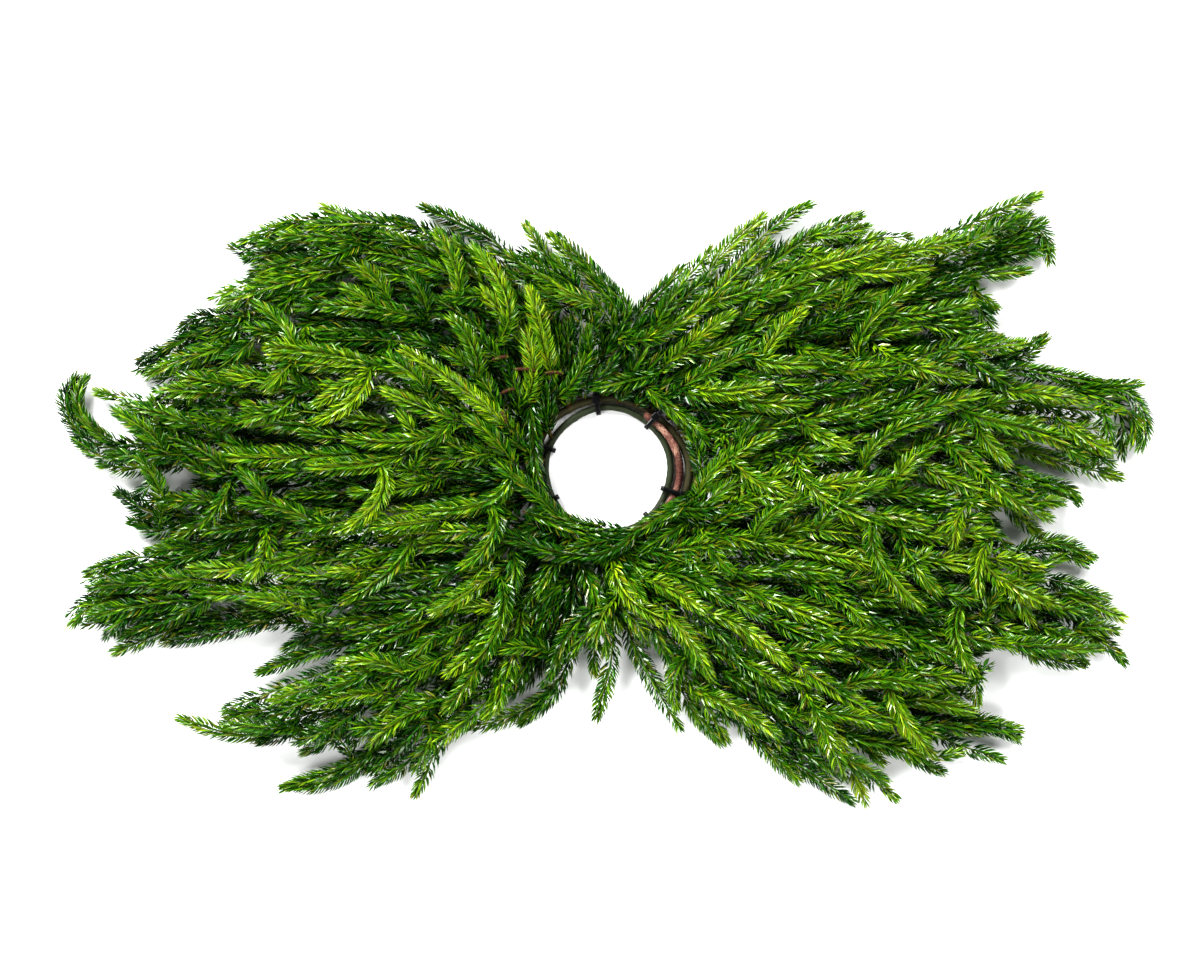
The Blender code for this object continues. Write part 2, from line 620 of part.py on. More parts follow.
class SprayMesh:
    """Triangles of one spray. A stem is a three-sided tube whose short bands, the whorls, carry the needles:
    each triangle of a whorl may be drawn out into a needle, or into a side shoot's tube."""

    def __init__(self):
        self.points, self.faces, self.buds = [], [], []
        self.stations = {}

    def ring(self, track, s, radius, phase):
        centre, _, across, up = track.at(s)
        start = len(self.points)
        for k in range(3):
            a = phase + k * 2 * math.pi / 3
            self.points.append(centre + radius * (math.cos(a) * across + math.sin(a) * up))
        return (start, start + 1, start + 2)

    def band(self, a, b):
        """Six triangles between two rings, where ring b is turned a sixth of a turn past ring a."""
        made = []
        for i in range(3):
            j = (i + 1) % 3
            made += [(a[i], a[j], b[i]), (a[j], b[j], b[i])]
        return made

    def grow(self, track, first, phase, start, rng, rope):
        """Carries the tube from ring first to the tip. Returns its whorls as (distance, triangles)."""
        whorls = []
        middle = np.mean([self.points[i] for i in first], axis=0)
        stations = self.stations[rope] = [(0.0, middle, stem_radius(0.0))]
        room = track.length - TIP_CONE - WHORL_WIDTH - start
        count = max(1, int(round(room / WHORL_PITCH)))
        pitch = room / count
        ring = first
        for k in range(count + 1):
            s = start + k * pitch
            if 0 < k < count:
                s += rng.uniform(-0.12, 0.12) * pitch
            share = s / track.length
            phase += math.pi / 3 + rng.uniform(-0.35, 0.35) * (k > 0)
            near = self.ring(track, s, stem_radius(share), phase)
            self.faces += self.band(ring, near)
            phase += math.pi / 3
            ring = self.ring(track, s + WHORL_WIDTH, stem_radius(share), phase)
            stations.append((s, track.at(s)[0], stem_radius(share)))
            stations.append((s + WHORL_WIDTH, track.at(s + WHORL_WIDTH)[0], stem_radius(share)))
            whorls.append((s, self.band(near, ring)))
        tip = len(self.points)
        self.points.append(track.at(track.length)[0])
        stations.append((track.length, self.points[tip], 0.3))
        self.faces += [(ring[i], ring[(i + 1) % 3], tip) for i in range(3)]
        for s, triangles in whorls:
            for k, triangle in enumerate(triangles):
                self.buds.append((rope, s, k, triangle))
        return whorls

    def facing(self, triangle, centre):
        middle = np.mean([self.points[i] for i in triangle], axis=0)
        return middle, unit(middle - centre)


def join_shoot(mesh, whorls, rope, parent_number, parent):
    """Moves a shoot's root to the nearest whorl of its stem, where it takes one of the triangles.

    Returns the shoot's track, the triangle that its tube grows from, and the turn of that triangle."""
    wanted = parent.along[rope.at]
    whorl = min(whorls, key=lambda w: abs(w[0] - wanted))
    centre = parent.at(whorl[0] + WHORL_WIDTH / 2)[0]
    fade = np.linspace(1, 0, len(rope.path))[:, None] ** 2
    moved = rope.path + (centre - rope.path[0]) * fade
    track = Track(moved)
    heading = unit(moved[2] - moved[0])
    free = [b for b in mesh.buds if b[0] == parent_number and b[1] == whorl[0]]
    bud = max(free, key=lambda b: mesh.facing(b[3], centre)[1] @ heading)
    mesh.buds.remove(bud)
    base = bud[3]
    _, _, across, up = track.at(4.0)
    middle = np.mean([mesh.points[i] for i in base], axis=0)
    turns = []
    for k, i in enumerate(base):
        d = mesh.points[i] - middle
        turns.append(np.exp(1j * (math.atan2(d @ up, d @ across) - k * 2 * math.pi / 3)))
    return track, base, float(np.angle(np.sum(turns)))


def build_stems(ropes):
    """One SprayMesh for each spray, with its tubes grown and its needle places listed, and the tracks."""
    rng = np.random.default_rng(SEED + 1)
    meshes, whorls = {}, {}
    tracks = [Track(rope.path) for rope in ropes]
    for number, rope in enumerate(ropes):
        mesh = meshes.setdefault(rope.owner, SprayMesh())
        if rope.parent is None:
            phase, start = 1.5 * math.pi, BARE_ROOT
            base = mesh.ring(tracks[number], 0.0, STEM_RADIUS_ROOT, phase)
            mesh.faces.append((base[0], base[2], base[1]))
        else:
            parent, start = tracks[rope.parent], BARE_SHOOT
            joined = join_shoot(mesh, whorls[rope.parent], rope, rope.parent, parent)
            tracks[number], base, phase = joined
        whorls[number] = mesh.grow(tracks[number], base, phase, start, rng, number)
    return meshes, tracks


class Crowd:
    """Everything a needle must keep clear of, as tapered rods sorted into square cells."""

    CELL = 14.0

    def __init__(self):
        self.rods, self.cells = [], {}

    def add(self, p, q, r0, r1, rope, s):
        low = np.floor((np.minimum(p, q)[:2] - 1.5) / self.CELL).astype(int)
        high = np.floor((np.maximum(p, q)[:2] + 1.5) / self.CELL).astype(int)
        number = len(self.rods)
        self.rods.append((*p, *q, r0, r1, rope, s))
        for i in range(low[0], high[0] + 1):
            for j in range(low[1], high[1] + 1):
                self.cells.setdefault((i, j), []).append(number)

    def near(self, p, reach):
        low = np.floor((p[:2] - reach) / self.CELL).astype(int)
        high = np.floor((p[:2] + reach) / self.CELL).astype(int)
        found = set()
        for i in range(low[0], high[0] + 1):
            for j in range(low[1], high[1] + 1):
                found.update(self.cells.get((i, j), ()))
        return np.array([self.rods[k] for k in sorted(found)]) if found else np.zeros((0, 10))


CORE, SAME_WHORL = -1.0, 0.5
ROD_LENGTH = 6.0


def add_stem_rods(crowd, rope, stations):
    """Adds a stem, cut into short rods. Each keeps the rope's number and its distance along it."""
    for (s, p, r), (t, q, tail) in zip(stations, stations[1:]):
        cuts = max(1, int((t - s) / ROD_LENGTH))
        for k in range(cuts):
            low, high = k / cuts, (k + 1) / cuts
            ends = (r + (tail - r) * low, r + (tail - r) * high)
            middle = s + (t - s) * (low + high) / 2
            crowd.add(p + (q - p) * low, p + (q - p) * high, *ends, rope, middle)


def crowd_of_cores(meshes):
    """The stems, strands and ties as rods."""
    crowd = Crowd()
    for mesh in meshes.values():
        for rope, stations in mesh.stations.items():
            add_stem_rods(crowd, rope, stations)
    for kind, radius in (("inner", INNER_RADIUS), ("outer", OUTER_RADIUS), ("bark", BARK_RADIUS)):
        path = strand_path(kind)
        ends = np.roll(path, -1, axis=0) if kind != "bark" else path[1:]
        for p, q in zip(path, ends):
            crowd.add(p, q, radius, radius, CORE, 0.0)
    for angle in TIE_ANGLES:
        path = tie_path(angle)
        for p, q in zip(path, np.roll(path, -1, axis=0)):
            crowd.add(p, q, 1.8, 1.8, CORE, 0.0)
        head, tail, _ = head_and_tail(angle)
        crowd.add(head, tail, TIE_HEAD_REACH, 2.6, CORE, 0.0)
    return crowd


def keeps_opening(points):
    """Whether needles, as (n, samples, 3), keep out of the candle's square and above the table."""
    away = np.abs(points[..., :2] - RING_CENTRE)
    return ~(away < OPENING_KEPT).all(-1).any(-1) & (points[..., 2] > TABLE_GAP).all(-1)


def needle_tips(mesh, track, bud, rng):
    """A needle's base on its whorl triangle, the tips that are tried, best first, and its full length."""
    _, s, k, triangle = bud
    centre, ahead, _, _ = track.at(s + WHORL_WIDTH / 2)
    base, out = mesh.facing(triangle, centre)
    out = unit(out - ahead * (out @ ahead))
    side = np.cross(ahead, out)
    to_tip = track.length - s
    forward = k % 2 == 1
    lean = (LEAN_FORWARD if forward else LEAN_OUTWARD) + rng.uniform(-4, 4)
    lean -= 12.0 * max(0.0, 1 - to_tip / 18.0)
    length = NEEDLE_LENGTH * (1.0 if forward else OUTWARD_SHARE) * rng.uniform(0.92, 1.08)
    length *= 1.0 - 0.22 * max(0.0, 1 - to_tip / 22.0)
    leans = np.radians(np.maximum(lean + NEEDLE_TRIES[:, :1], LEAST_LEAN))
    turns = np.radians(NEEDLE_TRIES[:, 1:2])
    outward = np.cos(turns) * out + np.sin(turns) * side
    heading = np.cos(leans) * ahead + np.sin(leans) * outward
    return base, base + heading * length * NEEDLE_TRIES[:, 2:], length


def clear_tips(crowd, base, tips, length, rope, s):
    """Which tips give a needle that keeps out of the opening and clear of everything laid before it."""
    samples = base + (tips - base)[:, None] * np.linspace(0.15, 1, 5)[:, None]
    good = keeps_opening(samples)
    rods = crowd.near(base, length + 4.0)
    away = np.abs(rods[:, 9] - s)
    core = rods[:, 6] > NEEDLE_ROD[0] + 0.05
    own = (rods[:, 8] == rope) & (away < OWN_CORE_SPAN) & core
    same = (rods[:, 8] == rope) & (away < SAME_WHORL) & ~core
    for which, begin in ((~own & ~same, 0.0), (same, 0.3)):
        tested = rods[which]
        if not len(tested):
            continue
        p = (base + (tips - base) * begin)[:, None]
        gap, on_needle, on_rod = segment_gap(p, tips[:, None], tested[None, :, 0:3], tested[None, :, 3:6])
        on_needle = begin + on_needle * (1 - begin)
        thick = 1.25 * (1 - on_needle) + tested[:, 6] + (tested[:, 7] - tested[:, 6]) * on_rod
        good &= (gap > thick + CLEARANCE).all(axis=1)
    return good


def grow_needles(meshes, tracks):
    """Draws each whorl triangle out into a needle, or leaves it flat where none has room. Counts them."""
    rng = np.random.default_rng(SEED + 2)
    crowd = crowd_of_cores(meshes)
    grown = 0
    for owner in sorted(meshes):
        mesh = meshes[owner]
        for bud in mesh.buds:
            rope, s, _, triangle = bud
            base, tips, length = needle_tips(mesh, tracks[rope], bud, rng)
            good = clear_tips(crowd, base, tips, length, rope, s)
            if not good.any():
                mesh.faces.append(triangle)
                continue
            tip = tips[int(np.argmax(good))]
            number = len(mesh.points)
            mesh.points.append(tip)
            a, b, c = triangle
            mesh.faces += [(a, b, number), (b, c, number), (c, a, number)]
            crowd.add(base, tip, *NEEDLE_ROD, rope, s)
            grown += 1
    return grown


# Objects


def clear_scene():
    for obj in list(bpy.data.objects):
        bpy.data.objects.remove(obj)


def material(name, colour, roughness, metallic=0.0):
    made = bpy.data.materials.new(name)
    made.use_nodes = True
    shader = made.node_tree.nodes["Principled BSDF"]
    shader.inputs["Base Color"].default_value = (*colour, 1.0)
    shader.inputs["Roughness"].default_value = roughness
    shader.inputs["Metallic"].default_value = metallic
    return made


def add_object(name, points, faces, finish):
    mesh = bpy.data.meshes.new(name)
    mesh.from_pydata((np.asarray(points) * MM).tolist(), [], [tuple(int(i) for i in f) for f in faces])
    mesh.materials.append(finish)
    obj = bpy.data.objects.new(name, mesh)
    bpy.context.scene.collection.objects.link(obj)
    return obj


def box(centre, size, axes):
    """Vertices and faces of a box with its sides along three unit vectors."""
    corners = [(x, y, z) for x in (-0.5, 0.5) for y in (-0.5, 0.5) for z in (-0.5, 0.5)]
    points = [centre + sum(c * s * a for c, s, a in zip(corner, size, axes)) for corner in corners]
    faces = [(0, 1, 3, 2), (4, 6, 7, 5), (0, 4, 5, 1), (2, 3, 7, 6), (0, 2, 6, 4), (1, 5, 7, 3)]
    return np.array(points), faces


def build_tie(number, angle, finish):
    """A strap round the strands, joined to its ratchet head and its tail."""
    head, tail, (out, along, up) = head_and_tail(angle)
    path = tie_path(angle)
    ahead = unit(np.roll(path, -1, axis=0) - np.roll(path, 1, axis=0))
    outward = np.cross(ahead, along)
    points, faces = [], []
    for p, o in zip(path, outward):
        for a, b in ((-0.5, -0.5), (0.5, -0.5), (0.5, 0.5), (-0.5, 0.5)):
            corner = p + a * TIE_WIDTH * along + b * TIE_THICK * o
            points.append(corner if corner[2] > FOOT_SNAP else corner * (1, 1, 0))
    count = len(path)
    for i in range(count):
        j = (i + 1) % count
        for k in range(4):
            m = (k + 1) % 4
            faces.append((4 * i + k, 4 * i + m, 4 * j + m, 4 * j + k))
    strap = add_object(f"tie_{number:02d}", points, faces, finish)
    fix_facing(strap)
    for name, place, size in (("head", head, TIE_HEAD), ("tail", tail, TIE_TAIL)):
        block = add_object(f"tie_{name}_{number:02d}", *box(place, size, (out, along, up)), finish)
        fix_facing(block)
        join = strap.modifiers.new(name, "BOOLEAN")
        join.operation = "UNION"
        join.object = block
        bpy.context.view_layer.objects.active = strap
        bpy.ops.object.modifier_apply(modifier=name)
        bpy.data.objects.remove(block)
    return strap


def fix_facing(obj):
    """Turns every face outwards."""
    work = bmesh.new()
    work.from_mesh(obj.data)
    bmesh.ops.recalc_face_normals(work, faces=work.faces)
    work.to_mesh(obj.data)
    work.free()


def build_ring(finishes):
    for kind, radius, finish in (
        ("inner", INNER_RADIUS, "green_vine"),
        ("outer", OUTER_RADIUS, "olive_vine"),
        ("bark", BARK_RADIUS, "red_bark"),
    ):
        points, faces = tube(strand_path(kind), radius, STRAND_SIDES, kind != "bark")
        fix_facing(add_object(f"ring_strand_{kind}", points, faces, finishes[finish]))
    for number, angle in enumerate(TIE_ANGLES, 1):
        build_tie(number, angle, finishes["tie_plastic"])


def build_sprays(finish):
    ropes = lay_sprays()
    meshes, tracks = build_stems(ropes)
    grown = grow_needles(meshes, tracks)
    for owner, mesh in sorted(meshes.items()):
        add_object(f"spray_{SPRAYS[owner].name}", mesh.points, mesh.faces, finish)
    total = sum(track.length for track in tracks)
    print(f"{len(ropes)} stems and shoots, {total / 1000:.1f} m, {grown} needles")


def main():
    clear_scene()
    finishes = {
        "green_vine": material("green_vine", (0.10, 0.16, 0.05), 0.6),
        "olive_vine": material("olive_vine", (0.15, 0.12, 0.05), 0.7),
        "red_bark": material("red_bark", (0.30, 0.12, 0.08), 0.75),
        "tie_plastic": material("tie_plastic", (0.01, 0.01, 0.012), 0.3),
    }
    build_ring(finishes)
    build_sprays(material("evergreen", (0.09, 0.22, 0.02), 0.5))


main()
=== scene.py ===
"""Looks of the evergreen candle ring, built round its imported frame.

Rope-like sprays of soft incurved needles leave a ring of bent vine strands that plastic ties hold together.
The layout is in millimetres, in the part's own frame, and a mesh is scaled to metres when it is made.
"""

import logging
import math
from collections.abc import Sequence
from dataclasses import dataclass, field
from enum import Enum
from typing import NamedTuple

import bpy
import numpy as np
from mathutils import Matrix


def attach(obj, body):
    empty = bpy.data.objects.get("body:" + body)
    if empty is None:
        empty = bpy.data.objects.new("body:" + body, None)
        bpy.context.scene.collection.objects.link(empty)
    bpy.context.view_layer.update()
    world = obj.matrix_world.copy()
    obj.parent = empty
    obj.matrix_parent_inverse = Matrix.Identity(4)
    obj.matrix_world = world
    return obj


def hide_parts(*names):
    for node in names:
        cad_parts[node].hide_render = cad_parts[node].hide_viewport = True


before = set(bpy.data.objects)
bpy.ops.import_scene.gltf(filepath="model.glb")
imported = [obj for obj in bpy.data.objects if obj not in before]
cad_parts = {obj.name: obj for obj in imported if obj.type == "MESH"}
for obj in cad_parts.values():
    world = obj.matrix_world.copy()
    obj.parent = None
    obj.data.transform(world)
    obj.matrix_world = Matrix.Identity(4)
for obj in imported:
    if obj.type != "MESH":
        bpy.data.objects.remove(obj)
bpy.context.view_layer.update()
LOG = logging.getLogger("candle_ring")

Array = np.ndarray
Draws = np.random.Generator
Material = bpy.types.Material
Object = bpy.types.Object
Pair = tuple[float, float]
Triple = tuple[float, float, float]
MM = 0.001
SEED = 24
UP = np.array((0.0, 0.0, 1.0))
PATH_STEP = 3.0


class Seat(Enum):
    """How a stem starts at the ring. The value is the most it turns there, in degrees."""

    ON = 86.0
    BESIDE = 50.0


class StrandKind(Enum):
    """The ring's three strands. The value ends the name of the strand's solid."""

    INNER = "inner"
    OUTER = "outer"
    BARK = "bark"


class Spray(NamedTuple):
    """One spray: where its stem starts, the points it passes, and listed shoots as (share, tip)."""

    seat: Seat
    name: str
    angle: float
    stem: tuple[Pair, ...]
    shoots: tuple[tuple[float, Pair], ...] = ()


# Sprays whose stems butt against the outer strand, and sprays over them whose stems rest across the strands
LOW_SPRAYS = (
    ("right_01", 12, ((86, 26), (141, 32), (191, 33), (218, 31), (251, 20), (286, 11))),
    ("right_02", -3, ((64, 11), (108, 14), (163, 22), (207, 23), (235, 10), (261, -3))),
    ("right_03", -30, ((86, -18), (141, -26), (196, -26), (229, -31), (252, -30), (267, -37))),
    (
        "right_04", -42,
        ((75, -43), (125, -51), (180, -48), (218, -50), (250, -62), (286, -88)),
        ((0.8, (288, -67)), (0.72, (279, -56)), (0.8, (266, -92)), (0.66, (238, -90))),
    ),
    (
        "right_05", -57,
        ((70, -62), (125, -96), (180, -121), (208, -126), (231, -128)),
        ((0.78, (221, -145)), (0.6, (203, -110))),
    ),
    ("right_06", -66, ((53, -78), (97, -111), (136, -145), (162, -167)), ((0.6, (182, -150)),)),
    ("right_07", -78, ((37, -78), (70, -118), (108, -157))),
    ("middle_01", -84, ((17, -55), (35, -84), (54, -110), (68, -135))),
    ("middle_02", -90, ((8, -56), (19, -86), (42, -128))),
    ("middle_03", 263, ((2, -51), (5, -84), (-4, -123))),
    ("left_01", 245, ((-16, -78), (-30, -108), (-57, -123), (-80, -127))),
    ("left_02", 238, ((-40, -78), (-68, -106), (-90, -136), (-104, -165))),
    ("left_03", 230, ((-57, -73), (-95, -113), (-139, -147), (-178, -161)), ((0.62, (-128, -160)),)),
    (
        "left_04", 222,
        ((-73, -67), (-117, -100), (-161, -124), (-200, -131), (-235, -122)),
        ((0.45, (-211, -118)),),
    ),
    ("left_05", 215, ((-84, -40), (-139, -56), (-194, -62), (-233, -71), (-271, -86))),
    ("left_06", 199, ((-95, -18), (-156, -26), (-211, -34), (-255, -40), (-287, -46))),
    ("left_07", 190, ((-101, -1), (-167, -8), (-222, -10), (-256, -12))),
    ("left_08", 181, ((-112, 18), (-167, 23), (-222, 20), (-255, 16), (-278, 18))),
    (
        "left_09", 172,
        (
            (-60, 31), (-112, 37), (-167, 34), (-222, 30), (-255, 28), (-276, 33), (-289, 46), (-290, 58),
            (-285, 67),
        ),
    ),
    ("left_10", 166, ((-95, 56), (-150, 56), (-205, 53), (-249, 52), (-280, 58))),
    ("left_11", 153, ((-90, 75), (-145, 89), (-194, 87), (-233, 80), (-258, 69))),
    ("left_12", 146, ((-79, 89), (-128, 108), (-178, 106), (-211, 99), (-233, 88))),
    ("left_13", 139, ((-62, 97), (-112, 122), (-161, 126), (-194, 118), (-217, 109))),
    ("left_14", 132, ((-46, 108), (-84, 139), (-123, 153), (-167, 152), (-201, 140))),
    ("left_15", 125, ((-32, 108), (-57, 138), (-81, 152), (-101, 161))),
    ("middle_04", 118, ((-18, 108), (-31, 132), (-43, 151))),
    ("middle_05", 111, ((8, 98), (-6, 119), (-22, 136), (-30, 145))),
    ("middle_06", 92, ((22, 92), (42, 116), (60, 137))),
    ("right_08", 85, ((42, 92), (73, 129), (94, 149), (115, 162)), ((0.5, (89, 156)),)),
    ("right_09", 78, ((64, 103), (103, 127), (138, 141), (170, 144)), ((0.55, (143, 156)),)),
    ("right_10", 71, ((81, 97), (136, 125), (180, 140), (213, 156), (242, 167))),
    (
        "right_11", 64,
        ((92, 92), (147, 114), (191, 131), (225, 143), (244, 153)),
        ((0.72, (235, 125)), (0.85, (248, 138))),
    ),
    ("right_12", 57, ((103, 81), (152, 95), (185, 108), (215, 103))),
    ("right_13", 40, ((108, 62), (163, 73), (213, 76), (243, 88))),
    (
        "right_14", 30,
        ((119, 48), (180, 57), (229, 62), (262, 58), (286, 50), (294, 40), (290, 29)),
        ((0.84, (297, 63)),),
    ),
    ("right_20", 21, ((72, 34), (108, 42), (141, 50), (180, 66), (212, 68))),
)
HIGH_SPRAYS = (
    ("left_16", 196, ((-90, 15), (-139, 10), (-194, 4), (-235, 0), (-256, -2), (-269, 2))),
    ("left_17", 222, ((-95, -45), (-150, -48), (-205, -49), (-252, -53), (-280, -59), (-293, -71))),
    ("left_18", 232, ((-79, -62), (-123, -76), (-161, -86), (-191, -97))),
    ("left_19", 242, ((-68, -89), (-112, -116), (-145, -132), (-166, -141))),
    (
        "left_20", 150,
        ((-35, 70), (-73, 108), (-117, 132), (-161, 135), (-193, 129)),
        ((0.62, (-155, 160)),),
    ),
    ("left_21", 172, ((-101, 64), (-150, 73), (-194, 67), (-222, 54))),
    ("right_15", 318.5, ((92, -10), (141, -4), (185, -10), (219, -15))),
    ("right_16", 284, ((26, -40), (64, -35), (108, -34), (152, -45), (188, -66))),
    ("right_17", 276, ((17, -45), (64, -56), (119, -67), (169, -84), (201, -104))),
    ("right_18", 265, ((14, -55), (48, -73), (92, -86), (124, -124), (145, -169))),
    ("right_19", 326, ((60, -6), (103, 8), (147, 26), (191, 45), (221, 53))),
    (
        "left_22", 292,
        ((-2, -21), (-21, -13), (-40, 4), (-68, 26), (-101, 45), (-139, 62), (-172, 70), (-197, 80)),
    ),
    ("left_23", 300, ((-2, -31), (-29, -30), (-62, -18), (-101, -15), (-145, -21), (-175, -26))),
)
SPRAYS = (*(Spray(Seat.BESIDE, *row) for row in LOW_SPRAYS), *(Spray(Seat.ON, *row) for row in HIGH_SPRAYS))

# Where the foliage ends, seen from above
WING_EDGE = (
    (12, 99), (0, 111), (-27, 136), (-42, 146), (-62, 139), (-90, 153), (-104, 158), (-123, 152),
    (-145, 155), (-172, 151), (-200, 138), (-194, 128), (-214, 111), (-225, 100), (-234, 85), (-255, 69),
    (-249, 59), (-277, 55), (-266, 37), (-277, 20), (-249, 12), (-266, 1), (-255, -11), (-249, -26),
    (-285, -45), (-292, -69), (-269, -83), (-227, -78), (-194, -72), (-150, -74), (-142, -81), (-190, -96),
    (-188, -109), (-230, -122), (-194, -131), (-167, -139), (-178, -160), (-150, -153), (-128, -158),
    (-112, -144), (-102, -164), (-87, -135), (-57, -124), (-24, -103), (-7, -84), (-4, -120), (5, -84),
    (15, -78), (39, -125), (48, -111), (65, -132), (75, -125), (108, -153), (119, -147), (144, -166),
    (162, -165), (160, -150), (182, -147), (196, -131), (222, -139), (228, -127), (204, -114), (207, -106),
    (218, -84), (251, -87), (284, -87), (287, -67), (251, -56), (243, -40), (266, -34), (240, -18),
    (262, -4), (240, 15), (283, 12), (284, 23), (291, 42), (291, 58), (273, 62), (229, 62), (218, 73),
    (243, 86), (218, 92), (215, 106), (207, 119), (237, 129), (242, 147), (237, 166), (218, 161),
    (190, 144), (166, 141), (141, 155), (135, 150), (113, 160), (91, 151), (72, 136), (60, 135), (42, 122),
    (26, 108),
)

# How near the ring's axis the foliage comes, as (angle, distance)
CLEAR_EDGE = (
    (0, 43.5), (35, 42.5), (52, 40), (62, 36.5), (88, 35.5), (98, 39.5), (135, 39), (155, 36.5),
    (180, 33.6), (200, 32.5), (204, 30.3), (212, 30.3), (220, 31.0), (235, 29.2), (250, 26.8), (282, 26.8),
    (294, 31.0), (302, 32.0), (306, 30.0), (315, 30.0), (320, 33.6), (332, 34.2), (340, 36.5), (346, 43),
)

# Sprigs that lie along the ring over its strands, each as (spray, points as angle, distance, height)
RING_SPRIGS = (
    ("right_16", ((-14, 52, 14), (-24, 45, 17), (-38, 39.5, 18), (-54, 37, 17.5), (-72, 37.5, 16))),
    ("right_15", ((2, 66, 15), (-8, 55, 16), (-20, 48, 18.5), (-31, 43.5, 19.5), (-41, 40, 19))),
    (
        "left_22",
        ((206, 52, 15), (218, 44, 16.5), (232, 39.5, 16.5), (250, 36, 16), (270, 34.8, 16), (290, 37, 17)),
    ),
    (
        "left_21",
        ((138, 58, 13), (149, 49, 15), (160, 43.5, 16), (175, 40.5, 15), (193, 37.5, 14), (213, 36.5, 14)),
    ),
    ("right_19", ((60, 62, 14), (72, 53, 15), (86, 47.5, 15), (98, 46, 14))),
    ("right_13", ((66, 50, 13), (55, 48.5, 14.5), (42, 49, 14), (29, 51.5, 13), (15, 56, 13))),
    ("right_17", ((-30, 53, 13), (-42, 49.5, 15.5), (-55, 47.5, 16), (-68, 48.5, 15))),
    ("right_01", ((-12, 59, 12), (-3, 52.5, 14), (8, 50.5, 14), (20, 50.5, 14), (31, 53, 13))),
)

# Slender shoots along the wings' edge, each as (spray, share of its stem where it leaves, points it passes)
EDGE_SHOOTS = (
    ("left_09", 0.8, ((-272, 27), (-287, 33), (-295, 45), (-297, 57), (-291, 67))),
    ("middle_05", 0.2, ((13, 101), (0, 118), (-14, 133), (-26, 145))),
    ("middle_06", 0.2, ((20, 101), (33, 115), (46, 129))),
    ("left_06", 0.76, ((-252, -33), (-271, -37), (-286, -42))),
    ("left_17", 0.84, ((-268, -54), (-284, -57), (-296, -65))),
    ("left_05", 0.55, ((-196, -71), (-222, -76), (-243, -80))),
    ("left_02", 0.6, ((-97, -135), (-111, -148), (-124, -157))),
    ("left_03", 0.66, ((-138, -151), (-156, -158), (-174, -160))),
    ("middle_01", 0.5, ((40, -101), (51, -119), (65, -136))),
    ("right_07", 0.7, ((102, -144), (118, -155), (138, -168))),
    ("right_06", 0.7, ((160, -138), (175, -146), (188, -152))),
    ("right_17", 0.93, ((204, -96), (205, -106), (206, -115))),
    ("right_05", 0.78, ((212, -125), (230, -134))),
    ("right_04", 0.74, ((232, -82), (250, -90), (266, -92))),
    ("right_04", 0.86, ((270, -76), (281, -84), (288, -92))),
    ("right_03", 0.82, ((242, -25), (257, -27), (271, -34))),
    ("right_02", 0.85, ((246, 8), (257, 4), (263, -3))),
    ("right_14", 0.6, ((222, 70), (240, 69), (258, 66), (276, 63))),
    ("right_14", 0.8, ((283, 60), (295, 51), (299, 39), (296, 26))),
    ("right_11", 0.8, ((237, 148), (244, 140), (247, 129))),
    ("left_07", 0.9, ((-250, -8), (-259, -3), (-268, 4))),
    ("left_07", 0.86, ((-245, -19), (-255, -15), (-262, -13))),
    ("left_09", 0.8, ((-272, 21), (-283, 26), (-292, 32))),
    ("left_14", 0.86, ((-190, 139), (-199, 136), (-206, 139))),
    ("left_20", 0.85, ((-183, 134), (-192, 133), (-198, 131))),
    ("left_12", 0.88, ((-222, 99), (-229, 96), (-235, 91))),
    ("left_12", 0.9, ((-231, 87), (-239, 83), (-245, 80))),
    ("left_11", 0.9, ((-243, 80), (-251, 77), (-257, 74))),
    ("left_18", 0.72, ((-157, -75), (-167, -79), (-176, -84))),
    ("left_04", 0.74, ((-175, -131), (-183, -133), (-191, -135))),
    ("left_01", 0.55, ((-25, -105), (-34, -115), (-46, -125))),
    ("right_06", 0.72, ((163, -137), (180, -143), (197, -140))),
    ("right_12", 0.85, ((203, 113), (211, 109), (217, 104))),
    ("right_13", 0.85, ((230, 77), (238, 82), (245, 89))),
    ("right_14", 0.9, ((287, 40), (286, 31), (286, 22))),
)

# Round gaps between the tips, as (x, y, radius), where no fine shoot grows
NOTCHES = (
    (32, -87, 10), (30, -76, 7), (152, -137, 12), (143, -132, 9), (228, -18, 11), (240, 20, 12),
    (258, -44, 7), (103, 148, 9), (62, 125, 7), (214, 121, 7), (-160, -91, 11), (-175, -96, 8),
    (-151, -144, 11), (-164, -147, 8), (-44, -108, 9), (-235, 11, 9), (-209, -60, 6),
)

# Bare brown twigs in sight between the needles, each as (spray, its two ends seen from above)
TWIGS = (
    ("left_12", ((-61, 75), (-52, 77))),
    ("left_12", ((-49, 70), (-37, 69))),
    ("left_14", ((-33, 68), (-22, 68))),
    ("left_21", ((-56, 57), (-49, 59.5))),
    ("left_22", ((-56, 47), (-53, 40))),
)


def unit(v: Array) -> Array:
    """Scales v to length 1, row by row."""
    return v / np.maximum(np.linalg.norm(v, axis=-1, keepdims=True), 1e-12)


def ray(turn: Array | float) -> Array:
    """Unit vector at an angle in radians."""
    return np.stack([np.cos(turn), np.sin(turn)], -1)


def arc_length(points: Array) -> Array:
    """Distance along a path at each of its points."""
    return np.concatenate([[0.0], np.cumsum(np.linalg.norm(np.diff(points, axis=0), axis=1))])


def read_along(s: Array, along: Array, rows: Array) -> Array:
    """Reads rows, known at the distances in along, at the distances s."""
    return np.column_stack([np.interp(s, along, column) for column in rows.T])


